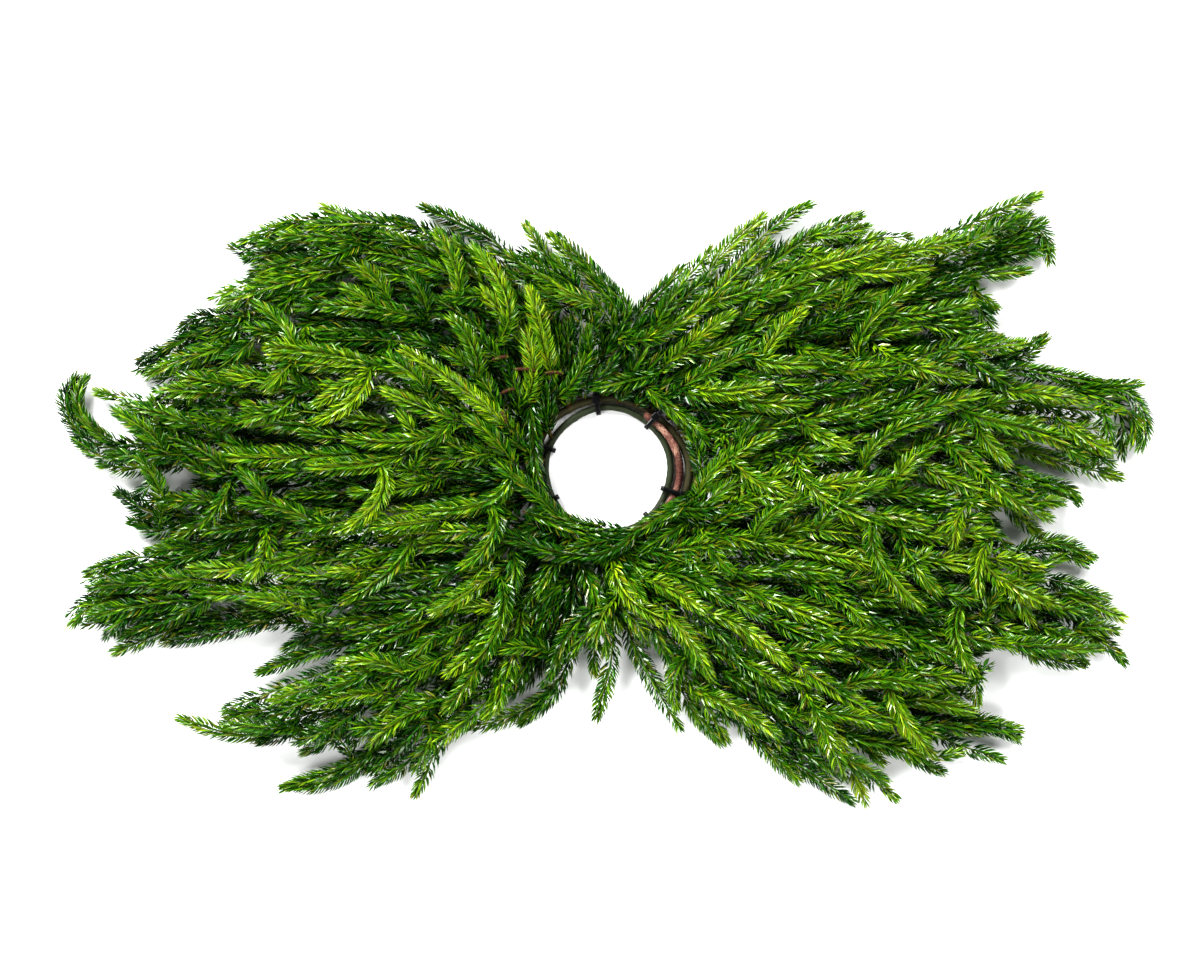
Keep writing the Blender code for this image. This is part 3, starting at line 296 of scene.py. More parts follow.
def smooth_path(points: Sequence[Sequence[float]] | Array, step: float = PATH_STEP) -> Array:
    """A Catmull-Rom curve through the points, sampled evenly.

    Args:
        points: the points it passes.
        step: distance between samples.

    Returns:
        The samples, one a row.
    """
    p = np.asarray(points, float)
    ends = np.vstack([2 * p[0] - p[1], p, 2 * p[-1] - p[-2]])
    t = np.linspace(0, 1, 24, endpoint=False)[None, :, None]
    a, b, c, d = (ends[i : len(p) - 1 + i, None] for i in range(4))
    cubic = 3 * b - a - 3 * c + d
    square = 2 * a - 5 * b + 4 * c - d
    runs = 0.5 * (2 * b + (c - a) * t + square * t**2 + cubic * t**3)
    dense = np.vstack([runs.reshape(-1, p.shape[1]), p[-1:]])
    along = arc_length(dense)
    even = np.linspace(0, along[-1], max(4, int(round(along[-1] / step))) + 1)
    return read_along(even, along, dense)


# Surfaces


@dataclass
class Surface:
    """A closed surface in millimetres, as arrays.

    Attributes:
        points: (n, 3) vertices.
        faces: (m, 3) vertex numbers, anticlockwise seen from outside.
        uv: (m, 3, 2) places of the corners in the map.
        marks: one value a vertex by name, for the finish to read.
        slot: which of the piece's finishes it wears.
        smooth: whether its faces are shaded as one curved skin.
    """

    points: Array
    faces: Array
    uv: Array
    marks: dict[str, Array] = field(default_factory=dict)
    slot: int = 0
    smooth: bool = True


MARKS = ("along", "youth", "tone")
HALVES = np.array(((0, 1, 2), (0, 2, 3)))
CAP = 0.01


def swept(path: Array, across: Array, rise: Array, rim: Array, closed: bool, rows: Pair) -> Surface:
    """Carries a profile along a path.

    Vertex (i, k) is path[i] + rim[i, k, 0] across[i] + rim[i, k, 1] rise[i]. Each quad between two profiles
    is cut in two. The map has u along the path and v round it, and a strip of CAP at each end for poles.

    Args:
        path: (n, 3) middle line.
        across: (n, 3) first axis of the profile at each point.
        rise: (n, 3) second axis.
        rim: (n, k, 2) profile at each point, anticlockwise looking against the path's direction.
        closed: whether the path ends where it starts. Open ends get a pole each.
        rows: lowest and highest v in the map.

    Returns:
        The surface, with "along" running from 0 to 1.
    """
    count, sides = rim.shape[:2]
    skin = path[:, None] + rim[..., :1] * across[:, None] + rim[..., 1:] * rise[:, None]
    points = skin.reshape(-1, 3)
    along = np.repeat(np.linspace(0, 1, count), sides)
    spans = count if closed else count - 1
    i, k = np.arange(spans)[:, None], np.arange(sides)[None]
    j, m = (i + 1) % count, (k + 1) % sides
    low, high = (CAP + (1 - 2 * CAP) * (i + step) / spans for step in (0, 1))
    near, far = (rows[0] + (rows[1] - rows[0]) * (k + step) / sides for step in (0, 1))
    corners = np.stack([x * sides + y for x, y in ((i, k), (i, m), (j, m), (j, k))], -1)
    places = ((low, near), (low, far), (high, far), (high, near))
    spots = np.stack([np.stack(np.broadcast_arrays(u, v), -1) for u, v in places], 2)
    faces = corners[..., HALVES].reshape(-1, 3)
    uv = spots[:, :, HALVES].reshape(-1, 3, 2)
    if not closed:
        pole, last = len(points), (count - 1) * sides
        points = np.vstack([points, skin[0].mean(0), skin[-1].mean(0)])
        along = np.append(along, (0.0, 1.0))
        k, m, near, far = k[0], m[0], near[0], far[0]
        start = np.stack([m, k, np.full(sides, pole)], -1)
        end = np.stack([last + k, last + m, np.full(sides, pole + 1)], -1)
        faces = np.vstack([faces, start, end])
        for rim_u, pole_u, first, second in ((CAP, 0.0, far, near), (1 - CAP, 1.0, near, far)):
            places = ((rim_u, first), (rim_u, second), (pole_u, (first + second) / 2))
            uv = np.vstack([uv, np.stack([np.stack([np.full(sides, u), v], -1) for u, v in places], 1)])
    return Surface(points, faces, uv, {"along": along})


def ring_rim(radius: Array, sides: int) -> Array:
    """Round profiles, as (n, sides, 2). radius is (n,), (n, 1) or (n, sides)."""
    turn = 2 * np.pi * (np.arange(sides) + 0.5) / sides
    radius = np.asarray(radius, float).reshape(len(radius), -1)
    return radius[..., None] * ray(turn)


def level_frame(path: Array, closed: bool = False) -> tuple[Array, Array, Array]:
    """Unit vectors (ahead, across, rise) along a path that is never upright, with across kept level."""
    if closed:
        ahead = unit(np.roll(path, -1, axis=0) - np.roll(path, 1, axis=0))
    else:
        ahead = unit(np.gradient(path, axis=0))
    across = unit(np.cross(UP, ahead))
    return ahead, across, np.cross(ahead, across)


def add_object(name: str, data: bpy.types.ID) -> Object:
    """Puts an object with that data into the scene."""
    made = bpy.data.objects.new(name, data)
    bpy.context.scene.collection.objects.link(made)
    return made


def make_piece(name: str, surfaces: Sequence[Surface], finishes: Sequence[Material]) -> Object:
    """Joins surfaces into one mesh object, scaled to metres.

    Args:
        name: the object's name.
        surfaces: what it consists of.
        finishes: its materials, in the order of the surfaces' slots.

    Returns:
        The object, at the origin.
    """
    offsets = np.cumsum([0] + [len(s.points) for s in surfaces])
    points = np.vstack([s.points for s in surfaces]) * MM
    faces = np.vstack([s.faces + o for s, o in zip(surfaces, offsets)])
    uv = np.vstack([s.uv for s in surfaces])
    mesh = bpy.data.meshes.new(name)
    mesh.vertices.add(len(points))
    mesh.vertices.foreach_set("co", points.astype(np.float32).ravel())
    mesh.loops.add(faces.size)
    mesh.loops.foreach_set("vertex_index", faces.astype(np.int32).ravel())
    mesh.polygons.add(len(faces))
    mesh.polygons.foreach_set("loop_start", np.arange(0, faces.size, 3, dtype=np.int32))
    counts = [len(s.faces) for s in surfaces]
    mesh.polygons.foreach_set("material_index", np.repeat([s.slot for s in surfaces], counts))
    mesh.polygons.foreach_set("use_smooth", np.repeat([s.smooth for s in surfaces], counts))
    mesh.update(calc_edges=True)
    mesh.uv_layers.new(name="OFBake").uv.foreach_set("vector", uv.astype(np.float32).ravel())
    for mark in MARKS:
        values = np.concatenate([s.marks.get(mark, np.zeros(len(s.points))) for s in surfaces])
        mesh.attributes.new(mark, "FLOAT", "POINT").data.foreach_set("value", values.astype(np.float32))
    for finish in finishes:
        mesh.materials.append(finish)
    return add_object(name, mesh)


# The ring


@dataclass(frozen=True)
class Ring:
    """Sizes of the ring, and where its strands run.

    Attributes:
        centre: middle of the opening.
        opening: its radius.
        seat_gap: room left where one piece rests on another.
        butt_gap: room left where a stem ends against the outer strand.
        inner, outer, bark: radii of the strands.
        strap: thickness of a tie's strap.
        bark_start, bark_end: angles where the bark strand ends.
        bulges: where the outer strand stands away, as (angle, half width, height).
        wave: height of the inner strand's slow wave.
        tie_angles: where the ties are.
    """

    centre: Pair = (2.5, 15.0)
    opening: float = 32.2
    seat_gap: float = 0.35
    butt_gap: float = 0.45
    inner: float = 2.1
    outer: float = 2.4
    bark: float = 2.2
    strap: float = 1.0
    bark_start: float = 57.0
    bark_end: float = -70.0
    bulges: tuple[Triple, ...] = (
        (-6.0, 34.0, 5.8), (140.0, 22.0, 2.0), (236.0, 30.0, 1.0)
    )
    wave: float = 0.25
    tie_angles: tuple[float, ...] = (99.5, 48.0, -18.6, 160.0, 208.0, 252.0, 310.5)

    @property
    def inner_height(self) -> float:
        """Height of the inner strand's middle line."""
        return self.strap + self.seat_gap + self.inner

    @property
    def outer_height(self) -> float:
        """Height of the outer strand's middle line."""
        return self.strap + self.seat_gap + self.outer

    def point(self, angle: Array | float, radius: Array | float, height: Array | float) -> Array:
        """The point at an angle in degrees, a distance from the ring's axis and a height."""
        a = np.radians(angle)
        x = self.centre[0] + radius * np.cos(a)
        y = self.centre[1] + radius * np.sin(a)
        return np.stack([x, y, height + 0 * a], axis=-1)

    def inner_line(self, angle: Array | float) -> Array:
        """Distance of the inner strand's middle line: the opening, the strand and a slow wave."""
        return self.opening + self.inner + self.wave * (1 + np.sin(np.radians(5 * np.asarray(angle))))

    def outer_line(self, angle: Array | float) -> Array:
        """The outer strand lies beside the inner one, plus a bell curve at each bulge."""
        line = self.inner_line(angle) + self.inner + self.outer + self.seat_gap
        for middle, width, height in self.bulges:
            away = (np.asarray(angle) - middle + 180) % 360 - 180
            line = line + height * np.exp(-((away / width) ** 2))
        return line

    def bark_line(self, angle: Array | float) -> tuple[Array, Array]:
        """Distance and height of the bark strand, which rests between the other two or on them."""
        angle = np.asarray(angle, float)
        about = np.linspace(-8, 8, 9)
        spread = angle[..., None, None] + about[:, None] + about
        half = (self.outer_line(spread) - self.inner_line(spread)) / 2
        seat = self.outer + self.bark + self.seat_gap
        raised = np.sqrt(np.maximum(seat**2 - half**2, 0.0)).max(-1).mean(-1)
        return (self.inner_line(angle) + self.outer_line(angle)) / 2, self.outer_height + raised

    def line(self, kind: StrandKind, steps: int) -> Array:
        """Middle line of a strand, in that many steps."""
        if kind is StrandKind.BARK:
            angle = np.linspace(self.bark_start, self.bark_end, steps)
            radius, height = self.bark_line(angle)
            return self.point(angle, radius, 0.0) + np.outer(height, UP)
        angle = np.linspace(0, 360, steps, endpoint=False)
        if kind is StrandKind.INNER:
            return self.point(angle, self.inner_line(angle), self.inner_height)
        return self.point(angle, self.outer_line(angle), self.outer_height)

    def polar(self, points: Array) -> tuple[Array, Array]:
        """Angle in degrees and distance from the axis of each point."""
        away = points[..., :2] - self.centre
        return np.degrees(np.arctan2(away[..., 1], away[..., 0])), np.linalg.norm(away, axis=-1)


@dataclass(frozen=True)
class Tie:
    """One plastic tie: a strap round the strands, a ratchet head on top and the tail cut short behind it.

    Attributes:
        ring: the ring that it holds.
        number: its number, from 1.
        angle: where it is.
        width: width of the strap.
        head: length, width and height of the head.
        tail: length, width and thickness of the tail.
        corner: radius of the strap's corners.
        slack: room inside the strap towards the opening, away from it and above.
        head_sunk, head_inward: how far the head stands into the strap, and in from its outer side.
        tail_sunk: how far the tail stands into the head.
    """

    ring: Ring
    number: int
    angle: float
    width: float = 2.6
    head: Triple = (4.6, 4.4, 3.2)
    tail: Triple = (5.5, 2.0, 0.9)
    corner: float = 1.2
    slack: Triple = (0.1, 0.2, 0.3)
    head_sunk: float = 0.7
    head_inward: float = 3.6
    tail_sunk: float = 0.8

    def box(self) -> tuple[float, float, float, float]:
        """Inner and outer distance, lowest and highest middle line of the strap."""
        ring, thick = self.ring, self.ring.strap
        inner = ring.opening - ring.seat_gap - self.slack[0] - thick / 2
        outer = float(ring.outer_line(self.angle)) + ring.outer + ring.seat_gap + self.slack[1] + thick / 2
        top = ring.outer_height + ring.outer
        if ring.bark_end < (self.angle + 180) % 360 - 180 < ring.bark_start:
            top = max(top, float(ring.bark_line(self.angle)[1]) + ring.bark)
        return inner, outer, thick / 2, top + ring.seat_gap + self.slack[2] + thick / 2

    def outline(self, turns: Array) -> Array:
        """Middle line of the strap as (distance, height), with those angles round each corner."""
        inner, outer, low, top = self.box()
        r = self.corner
        left, right, foot, roof = inner + r, outer - r, low + r, top - r
        corners = ((left, foot, 180), (right, foot, 270), (right, roof, 0), (left, roof, 90))
        return np.array([
            (x + r * math.cos(math.radians(a) + t), z + r * math.sin(math.radians(a) + t))
            for x, z, a in corners
            for t in turns
        ])

    def bare_outline(self) -> Array:
        """The outline with two points a corner."""
        return self.outline(np.radians((18.0, 72.0)))

    def axes(self) -> tuple[Array, Array, Array]:
        """Unit vectors outward, along the strands and up."""
        out = unit(self.ring.point(self.angle, 10.0, 0.0) - self.ring.point(self.angle, 0.0, 0.0))
        return out, np.cross(UP, out), UP

    def middle_line(self) -> Array:
        """The strap's middle line with two points a corner."""
        away, height = self.bare_outline().T
        return self.ring.point(np.full(len(away), self.angle), away, 0.0) + np.outer(height, UP)

    def head_and_tail(self) -> tuple[Array, Array]:
        """Middles of the head and of the tail."""
        away, height = self.bare_outline().max(axis=0)
        height = height + self.ring.strap / 2 + self.head[2] / 2 - self.head_sunk
        head = self.ring.point(self.angle, away - self.head_inward, height)
        return head, head + (self.head[0] / 2 + self.tail[0] / 2 - self.tail_sunk) * self.axes()[0]


# Where each stem runs


class Rope(NamedTuple):
    """A stem or shoot: its spray's number, its path, whether it is a shoot, and whether solids lack it."""

    owner: int
    path: Array
    shoot: bool
    added: bool = False


RING_OWNER, NO_OWNER = -1, -2


@dataclass(frozen=True)
class StemRule:
    """How stems lie on each other.

    Attributes:
        rest: height of a middle line over the table.
        reach, root_reach: half the distance between two ropes that touch, and the same at a bare root.
        grows_over: distance from the root over which the reach grows.
        steepest: most climb to a distance.
        stack_share: share of touching distance within which ropes stack.
        root_radius, root_length: size of a bare root.
        turn_share: share of the turn towards its course that a stem makes at once.
        seat_out: distance from the opening at which a stem on the ring starts.
        near_root: distance from its root within which a shoot may touch its own spray.
        own_room, room: least distance between middle lines within a spray and between sprays.
        samples: points of each strand in the pile.
        strap_reach, head_reach: reach of a tie's strap and head.
        smoothing: rounds in which heights are smoothed.
    """

    rest: float = 8.2
    reach: float = 4.2
    root_reach: float = 2.15
    grows_over: float = 30.0
    steepest: float = 1.1
    stack_share: float = 0.92
    root_radius: float = 1.8
    root_length: float = 8.0
    turn_share: float = 0.8
    seat_out: float = 4.0
    near_root: float = 11.0
    own_room: float = 5.2
    room: float = 4.6
    samples: tuple[int, int, int] = (40, 40, 27)
    strap_reach: float = 1.9
    head_reach: float = 3.4
    smoothing: int = 40

    def reach_along(self, path: Array, from_root: float) -> Array:
        """Reach at each point of a path: little at a bare root, and a rope of needles further out."""
        share = np.clip((from_root + arc_length(path)) / self.grows_over, 0, 1)
        return self.root_reach + (self.reach - self.root_reach) * share


RULE = StemRule()


class Pile:
    """What lies there so far, as samples of middle lines. A new stem is laid over it."""

    def __init__(self, ring: Ring, ties: Sequence[Tie]) -> None:
        """Starts with the strands and the ties."""
        self.points = np.zeros((0, 3))
        self.reach = np.zeros(0)
        self.owner = np.zeros(0, int)
        for kind, samples, radius in zip(StrandKind, RULE.samples, (ring.inner, ring.outer, ring.bark)):
            self.add(ring.line(kind, samples), radius, RING_OWNER)
        for tie in ties:
            self.add(tie.middle_line(), RULE.strap_reach, RING_OWNER)
            self.add(np.stack(tie.head_and_tail()), RULE.head_reach, RING_OWNER)

    def add(self, path: Array, reach: Array | float, owner: int) -> None:
        """Puts a path on the pile."""
        self.points = np.vstack([self.points, path])
        self.reach = np.append(self.reach, np.full(len(path), reach))
        self.owner = np.append(self.owner, np.full(len(path), owner))

    def over(self, plan: Array, reach: Array, owner: int) -> Array:
        """How high a middle line must lie at each plan point to clear what another owner laid there."""
        others = self.owner != owner
        apart = np.linalg.norm(plan[:, None] - self.points[others][None, :, :2], axis=2)
        touch = reach[:, None] + self.reach[others][None]
        height = self.points[others][:, 2] + np.sqrt(np.maximum(touch**2 - apart**2, 0.0))
        return np.where(apart < RULE.stack_share * touch, height, 0.0).max(axis=1)

    def drape(
        self, plan: Array, start: float, reach: Array, owner: int, steepest: float = RULE.steepest
    ) -> Array:
        """Heights along a plan path: on the table, or on what it crosses, with a stiff stem's slopes.

        Args:
            plan: (n, 2) path seen from above.
            start: height of its first point.
            reach: reach at each point.
            owner: its spray, whose own ropes it doesn't climb.
            steepest: most climb to a distance.

        Returns:
            The path as (n, 3).
        """
        need = np.maximum(self.over(plan, reach, owner), RULE.rest)
        need = np.minimum(need, start + steepest * arc_length(plan))
        need[0] = start
        height = need.copy()
        for _ in range(RULE.smoothing):
            height[1:-1] = np.maximum(need[1:-1], (height[:-2] + height[2:]) / 2)
        return np.column_stack([plan, height])


def headings(path: Array) -> Array:
    """Direction of a path in plan, in radians, at each of its points."""
    index = np.clip(np.arange(len(path)), 1, len(path) - 2)
    d = path[index + 1, :2] - path[index - 1, :2]
    return np.arctan2(d[:, 1], d[:, 0])


def inside_edge(points: Array) -> Array:
    """Which plan points lie inside the wings' edge, by counting the sides that a level ray crosses."""
    a = np.array(WING_EDGE, float)
    b = np.roll(a, -1, axis=0)
    x, y = points[..., 0, None], points[..., 1, None]
    rises = (a[:, 1] > y) != (b[:, 1] > y)
    tall = np.where(b[:, 1] == a[:, 1], 1e-9, b[:, 1] - a[:, 1])
    crossing = a[:, 0] + (y - a[:, 1]) * (b[:, 0] - a[:, 0]) / tall
    return (rises & (x < crossing)).sum(-1) % 2 == 1


class Lie(NamedTuple):
    """How added shoots lie: half the distance between two that touch, steepest climb, greatest height."""

    reach: float = 2.6
    steepest: float = 0.7
    highest: float = 29.0


@dataclass(frozen=True)
class ShootRule:
    """How side shoots grow, and how thickly they cover the ground.

    Attributes:
        lengths: lengths that are tried.
        first, spacing: distance from a stem's root to the first try, and between tries.
        cover: how far to each side a rope covers the ground.
        layers: how many ropes should lie over each place.
        least, most: least gain, in cells, for which a shoot is grown, and most shoots.
        ahead_room, side_room: room to the next shoot on the same and on the other side.
        spreads: shares of the bend that are tried.
        margin: least distance from a shoot to the wings' edge. With one, notches stay free too.
        leave, along: angle at which a shoot leaves its stem, and the least that it keeps.
        bend_over: distance over which it bends back.
        lag: how fast it follows its stem's course.
        worth: gain, in cells, that a point more of length has to bring.
        lie: how they lie on the others.
    """

    lengths: tuple[float, ...]
    first: float
    spacing: float
    cover: float
    layers: int
    least: float
    most: int
    ahead_room: float = 14.0
    side_room: float = 7.0
    spreads: tuple[float, ...] = (1.0, 1.35, 0.75)
    margin: float = 0.0
    leave: float = math.radians(44.0)
    along: float = math.radians(9.0)
    bend_over: float = 22.0
    lag: float = 0.9
    worth: float = 0.12
    lie: Lie = Lie()

    def plans(self, stem: Array, index: int, side: int) -> Array:
        """The longest shoots at a point of a stem.

        Each leaves it at an angle that falls off exponentially, so that it bends back to run along with it.

        Args:
            stem: the stem's path.
            index: where the shoot starts.
            side: 1 for the left side, -1 for the right.

        Returns:
            One plan for each spread, as (spreads, n, 2).
        """
        steps = int(round(max(self.lengths) / PATH_STEP))
        k = np.arange(steps)
        course = headings(stem)
        beside = course[np.clip(index + (k * self.lag).astype(int), 1, len(stem) - 2)]
        bend = self.leave * np.exp(-k * PATH_STEP / self.bend_over) + self.along
        turn = side * np.array(self.spreads)[:, None] * bend
        moves = PATH_STEP * ray(beside + turn)
        start = np.broadcast_to(stem[index, :2], (len(self.spreads), 1, 2))
        return np.cumsum(np.concatenate([start, moves], axis=1), axis=1)


FRAME_SHOOTS = ShootRule((66.0, 54.0, 44.0, 34.0), 30.0, 9.0, 8.0, 1, 4.0, 110)
FILL_SHOOTS = ShootRule(
    (105.0, 87.0, 69.0, 54.0, 39.0), 14.0, 9.0, 6.5, 3, 9.0, 130, 12.0, 6.0,
    spreads=(0.3, 0.55, 0.8, 1.1, 1.5), margin=3.0, lie=Lie(reach=3.1),
)
PATCH_SHOOTS = ShootRule(
    (60.0, 45.0, 33.0, 24.0), 6.0, 6.0, 4.5, 2, 6.0, 160, 9.0, 3.0,
    spreads=(0.3, 0.7, 1.1, 1.6, 2.2), margin=2.5,
)
CROSS_SHOOTS = ShootRule(
    (66.0, 57.0, 48.0, 39.0), 18.0, 3.0, 5.0, 1, 0.0, 60,
    spreads=(1.3, 1.7, 2.1), margin=3.0, lie=Lie(steepest=0.6, highest=31.0),
)
EDGE_LIE = Lie(steepest=0.5, highest=27.0)


class Ground:
    """The wings' ground in square cells, and how many ropes lie over each.

    Attributes:
        corner: the lowest plan point. The highest is opposite.
        ring_room: ground round the opening that isn't to be covered.
        rim: cells at the edge that no path enters.
        rule: how thickly it is to be covered.
        inside: which cells are to be covered.
        allowed: which cells a shoot may pass.
        layers: ropes over each cell.
        disc: cells that a rope reaches round its own.
    """

    corner: Pair = (-330.0, -210.0)
    ring_room: float = 14.0
    rim: int = 5

    def __init__(self, ring: Ring, rule: ShootRule, cell: float = 2.0) -> None:
        """Starts bare, with the ground inside the wings' edge and outside the ring marked."""
        self.rule, self.cell_size = rule, cell
        self.size = tuple(int(-2 * side / cell) for side in self.corner)
        i, j = np.meshgrid(np.arange(self.size[0]), np.arange(self.size[1]), indexing="ij")
        middles = self.corner + cell * (np.stack([i, j], axis=-1) + 0.5)
        self.inside = inside_edge(middles) & (ring.polar(middles)[1] > ring.opening + self.ring_room)
        if rule.margin:
            for x, y, radius in NOTCHES:
                self.inside &= np.linalg.norm(middles - (x, y), axis=-1) > radius
        self.allowed = self.inside.copy()
        for turn in np.arange(8) * (np.pi / 4) if rule.margin else ():
            self.allowed &= inside_edge(middles + rule.margin * ray(turn))
        self.layers = np.zeros(self.size, int)
        n = int(rule.cover / cell)
        a, b = np.meshgrid(np.arange(-n, n + 1), np.arange(-n, n + 1))
        near = a * a + b * b <= n * n
        self.disc = np.stack([a[near], b[near]], -1)

    def cells(self, points: Array) -> Array:
        """Cell of each plan point."""
        cells = ((points - self.corner) / self.cell_size).astype(int)
        return np.clip(cells, self.rim, np.array(self.size) - self.rim - 1)

    def cover(self, plan: Array) -> None:
        """Counts a rope over every cell that it reaches."""
        at = (self.cells(plan)[:, None] + self.disc[None]).reshape(-1, 2)
        reached = np.zeros(self.size, bool)
        reached[at[:, 0], at[:, 1]] = True
        self.layers += reached

    def choose(self, stems: Sequence[Array]) -> list[tuple[int, int, Array]]:
        """Picks shoots one by one, each time the one that reaches over most ground that lacks layers.

        Args:
            stems: paths that shoots may leave.

        Returns:
            (number of the stem, index on it, plan) of each shoot.
        """
        rule = self.rule
        step, first = int(rule.spacing / PATH_STEP), int(rule.first / PATH_STEP)
        marks, plans = [], []
        for number, stem in enumerate(stems):
            for index in range(first, len(stem) - 2, step):
                for side in (-1, 1):
                    plans.append(rule.plans(stem, index, side))
                    marks += [(number, index, side)] * len(rule.spreads)
        marks, plans = np.array(marks), np.concatenate(plans)
        cells = self.cells(plans)
        allowed = np.cumprod(self.allowed[cells[..., 0], cells[..., 1]], axis=1)
        ends = np.array([int(round(length / PATH_STEP)) for length in rule.lengths])
        free = np.ones(len(plans), bool)
        chosen = []
        for _ in range(rule.most):
            lacking = np.clip(rule.layers - self.layers, 0, None) * self.inside
            gain = np.cumsum(lacking[cells[..., 0], cells[..., 1]], axis=1)
            score = np.where((allowed[:, ends] > 0) & free[:, None], gain[:, ends] - rule.worth * ends, 0.0)
            best, which = np.unravel_index(int(np.argmax(score)), score.shape)
            if score[best, which] < rule.least:
                break
            number, index, side = marks[best]
            plan = plans[best, : ends[which] + 1]
            self.cover(plan)
            chosen.append((int(number), int(index), plan))
            room = np.where(marks[:, 2] == side, rule.ahead_room, rule.side_room)
            free &= (marks[:, 0] != number) | (np.abs(marks[:, 1] - index) * PATH_STEP >= room)
        return chosen


class Layout:
    """Lays every stem and shoot, from the lowest spray to the highest."""

    def __init__(self, ring: Ring, ties: Sequence[Tie]) -> None:
        """Remembers the ring and starts the pile with it."""
        self.ring = ring
        self.pile = Pile(ring, ties)
        self.ropes: list[Rope] = []

    def root(self, spray: Spray) -> tuple[Array, Array]:
        """The stem's first point, on the strands or against the outer one, and the next one in plan."""
        ring = self.ring
        near = spray.angle + np.array((-1.0, 0.0, 1.0))
        about = ring.point(near, ring.outer_line(near), 0.0)
        across = (about[2] - about[0])[:2]
        outward = unit(np.array((across[1], -across[0])))
        course = unit(np.array(spray.stem[0]) - about[1, :2])
        turn = math.atan2(outward[0] * course[1] - outward[1] * course[0], outward @ course)
        most = math.radians(spray.seat.value)
        turn = min(max(RULE.turn_share * turn, -most), most)
        if spray.seat is Seat.ON:
            start = ring.point(spray.angle, ring.opening + RULE.seat_out, 0.0)
            reach = np.array([RULE.root_radius + ring.seat_gap])
            start[2] = self.pile.over(start[None, :2], reach, NO_OWNER)[0]
        else:
            away = ring.outer + ring.butt_gap + RULE.root_radius * abs(math.sin(turn))
            start = np.append(about[1, :2] + away * outward, ring.outer_height)
        heading = math.atan2(outward[1], outward[0]) + turn
        return start, start[:2] + RULE.root_length * ray(heading)

    def placed_shoot(self, stem: Array, share: float, tip: Pair) -> tuple[int, Array]:
        """The plan of a listed shoot: it leaves its stem at an angle and bends to its tip."""
        index = int(share * (len(stem) - 1))
        ahead, start, end = headings(stem)[index], stem[index], np.array(tip, float)
        across = (end - start) @ (-math.sin(ahead), math.cos(ahead))
        ahead += math.copysign(0.8 * FRAME_SHOOTS.leave, across)
        bend = start + 0.3 * np.linalg.norm(end - start) * ray(ahead)
        return index, smooth_path([start, bend, end])

    def clear(self, path: Array, owner: int, near: Array) -> bool:
        """Whether a new shoot keeps its distance from every rope but its own spray's at its root."""
        for rope in self.ropes:
            points, own = rope.path, rope.owner == owner
            if own:
                points = points[np.linalg.norm(points - near, axis=1) > RULE.near_root]
                if len(points) < 2:
                    continue
            tested = path[3:] if own else path[1:]
            room = RULE.own_room if own else RULE.room
            if np.linalg.norm(tested[:, None] - points[None], axis=2).min() < room:
                return False
        return True

    def lay(self) -> None:
        """Lays the sprays that the solids have."""
        roots = [self.root(spray) for spray in SPRAYS]
        stems = [smooth_path([root[0][:2], root[1], *spray.stem]) for root, spray in zip(roots, SPRAYS)]
        shoots = [[self.placed_shoot(stem, *s) for s in spray.shoots] for stem, spray in zip(stems, SPRAYS)]
        ground = Ground(self.ring, FRAME_SHOOTS)
        for stem, placed in zip(stems, shoots):
            for plan in (stem, *(plan for _, plan in placed)):
                ground.cover(plan)
        for owner, index, plan in ground.choose(stems):
            shoots[owner].append((index, plan))
        for owner, plan in enumerate(stems):
            stem = self.pile.drape(plan, roots[owner][0][2], RULE.reach_along(plan, 0.0), owner)
            self.ropes.append(Rope(owner, stem, False))
            laid = []
            for index, shoot_plan in shoots[owner]:
                reach = RULE.reach_along(shoot_plan, RULE.grows_over)
                shoot = self.pile.drape(shoot_plan, stem[index, 2], reach, owner)
                if self.clear(shoot, owner, stem[index]):
                    self.ropes.append(Rope(owner, shoot, True))
                    laid.append(shoot)
            self.pile.add(stem, RULE.reach_along(stem, 0.0), owner)
            for shoot in laid:
                self.pile.add(shoot, RULE.reach, owner)

    def grow(self, parent: Rope, index: int, plan: Array, lie: Lie) -> None:
        """Adds a shoot that isn't in the solids.

        Args:
            parent: the rope that it leaves.
            index: where it leaves.
            plan: (n, 2) path seen from above.
            lie: how it lies on the others.
        """
        reach = np.full(len(plan), lie.reach)
        shoot = self.pile.drape(plan, float(parent.path[index, 2]), reach, parent.owner, lie.steepest)
        shoot[:, 2] = np.minimum(shoot[:, 2], lie.highest)
        self.pile.add(shoot, lie.reach, parent.owner)
        self.ropes.append(Rope(parent.owner, shoot, True, True))

    def thicken(self, rule: ShootRule) -> None:
        """Adds finer side shoots wherever fewer ropes lie than in the real spread.

        Args:
            rule: how they grow.
        """
        ground = Ground(self.ring, rule, 3.0)
        paths = [rope.path for rope in self.ropes]
        for path in paths:
            ground.cover(path[:, :2])
        chosen = ground.choose(paths)
        chosen.sort(key=lambda shoot: float(paths[shoot[0]][shoot[1], 2]))
        for number, index, plan in chosen:
            self.grow(self.ropes[number], index, plan, rule.lie)

    def scatter(self, rule: ShootRule) -> None:
        """Adds shoots at places drawn at random, which cross over the others at wide angles.

        Args:
            rule: how they grow.
        """
        rng = np.random.default_rng(SEED + 5)
        ground = Ground(self.ring, rule)
        stems = [rope for rope in self.ropes if len(rope.path) > 16]
        for _ in range(rule.most * 3):
            parent = stems[rng.integers(len(stems))]
            index = int(rng.integers(6, len(parent.path) - 4))
            plans = rule.plans(parent.path, index, int(rng.choice((-1, 1))))
            plan = plans[rng.integers(len(plans)), : int(rng.choice(rule.lengths) / PATH_STEP)]
            at = ground.cells(plan)
            if not ground.allowed[at[:, 0], at[:, 1]].all() or ground.layers[at[-6:, 0], at[-6:, 1]].any():
                continue
            ground.cover(plan)
            self.grow(parent, index, plan, rule.lie)

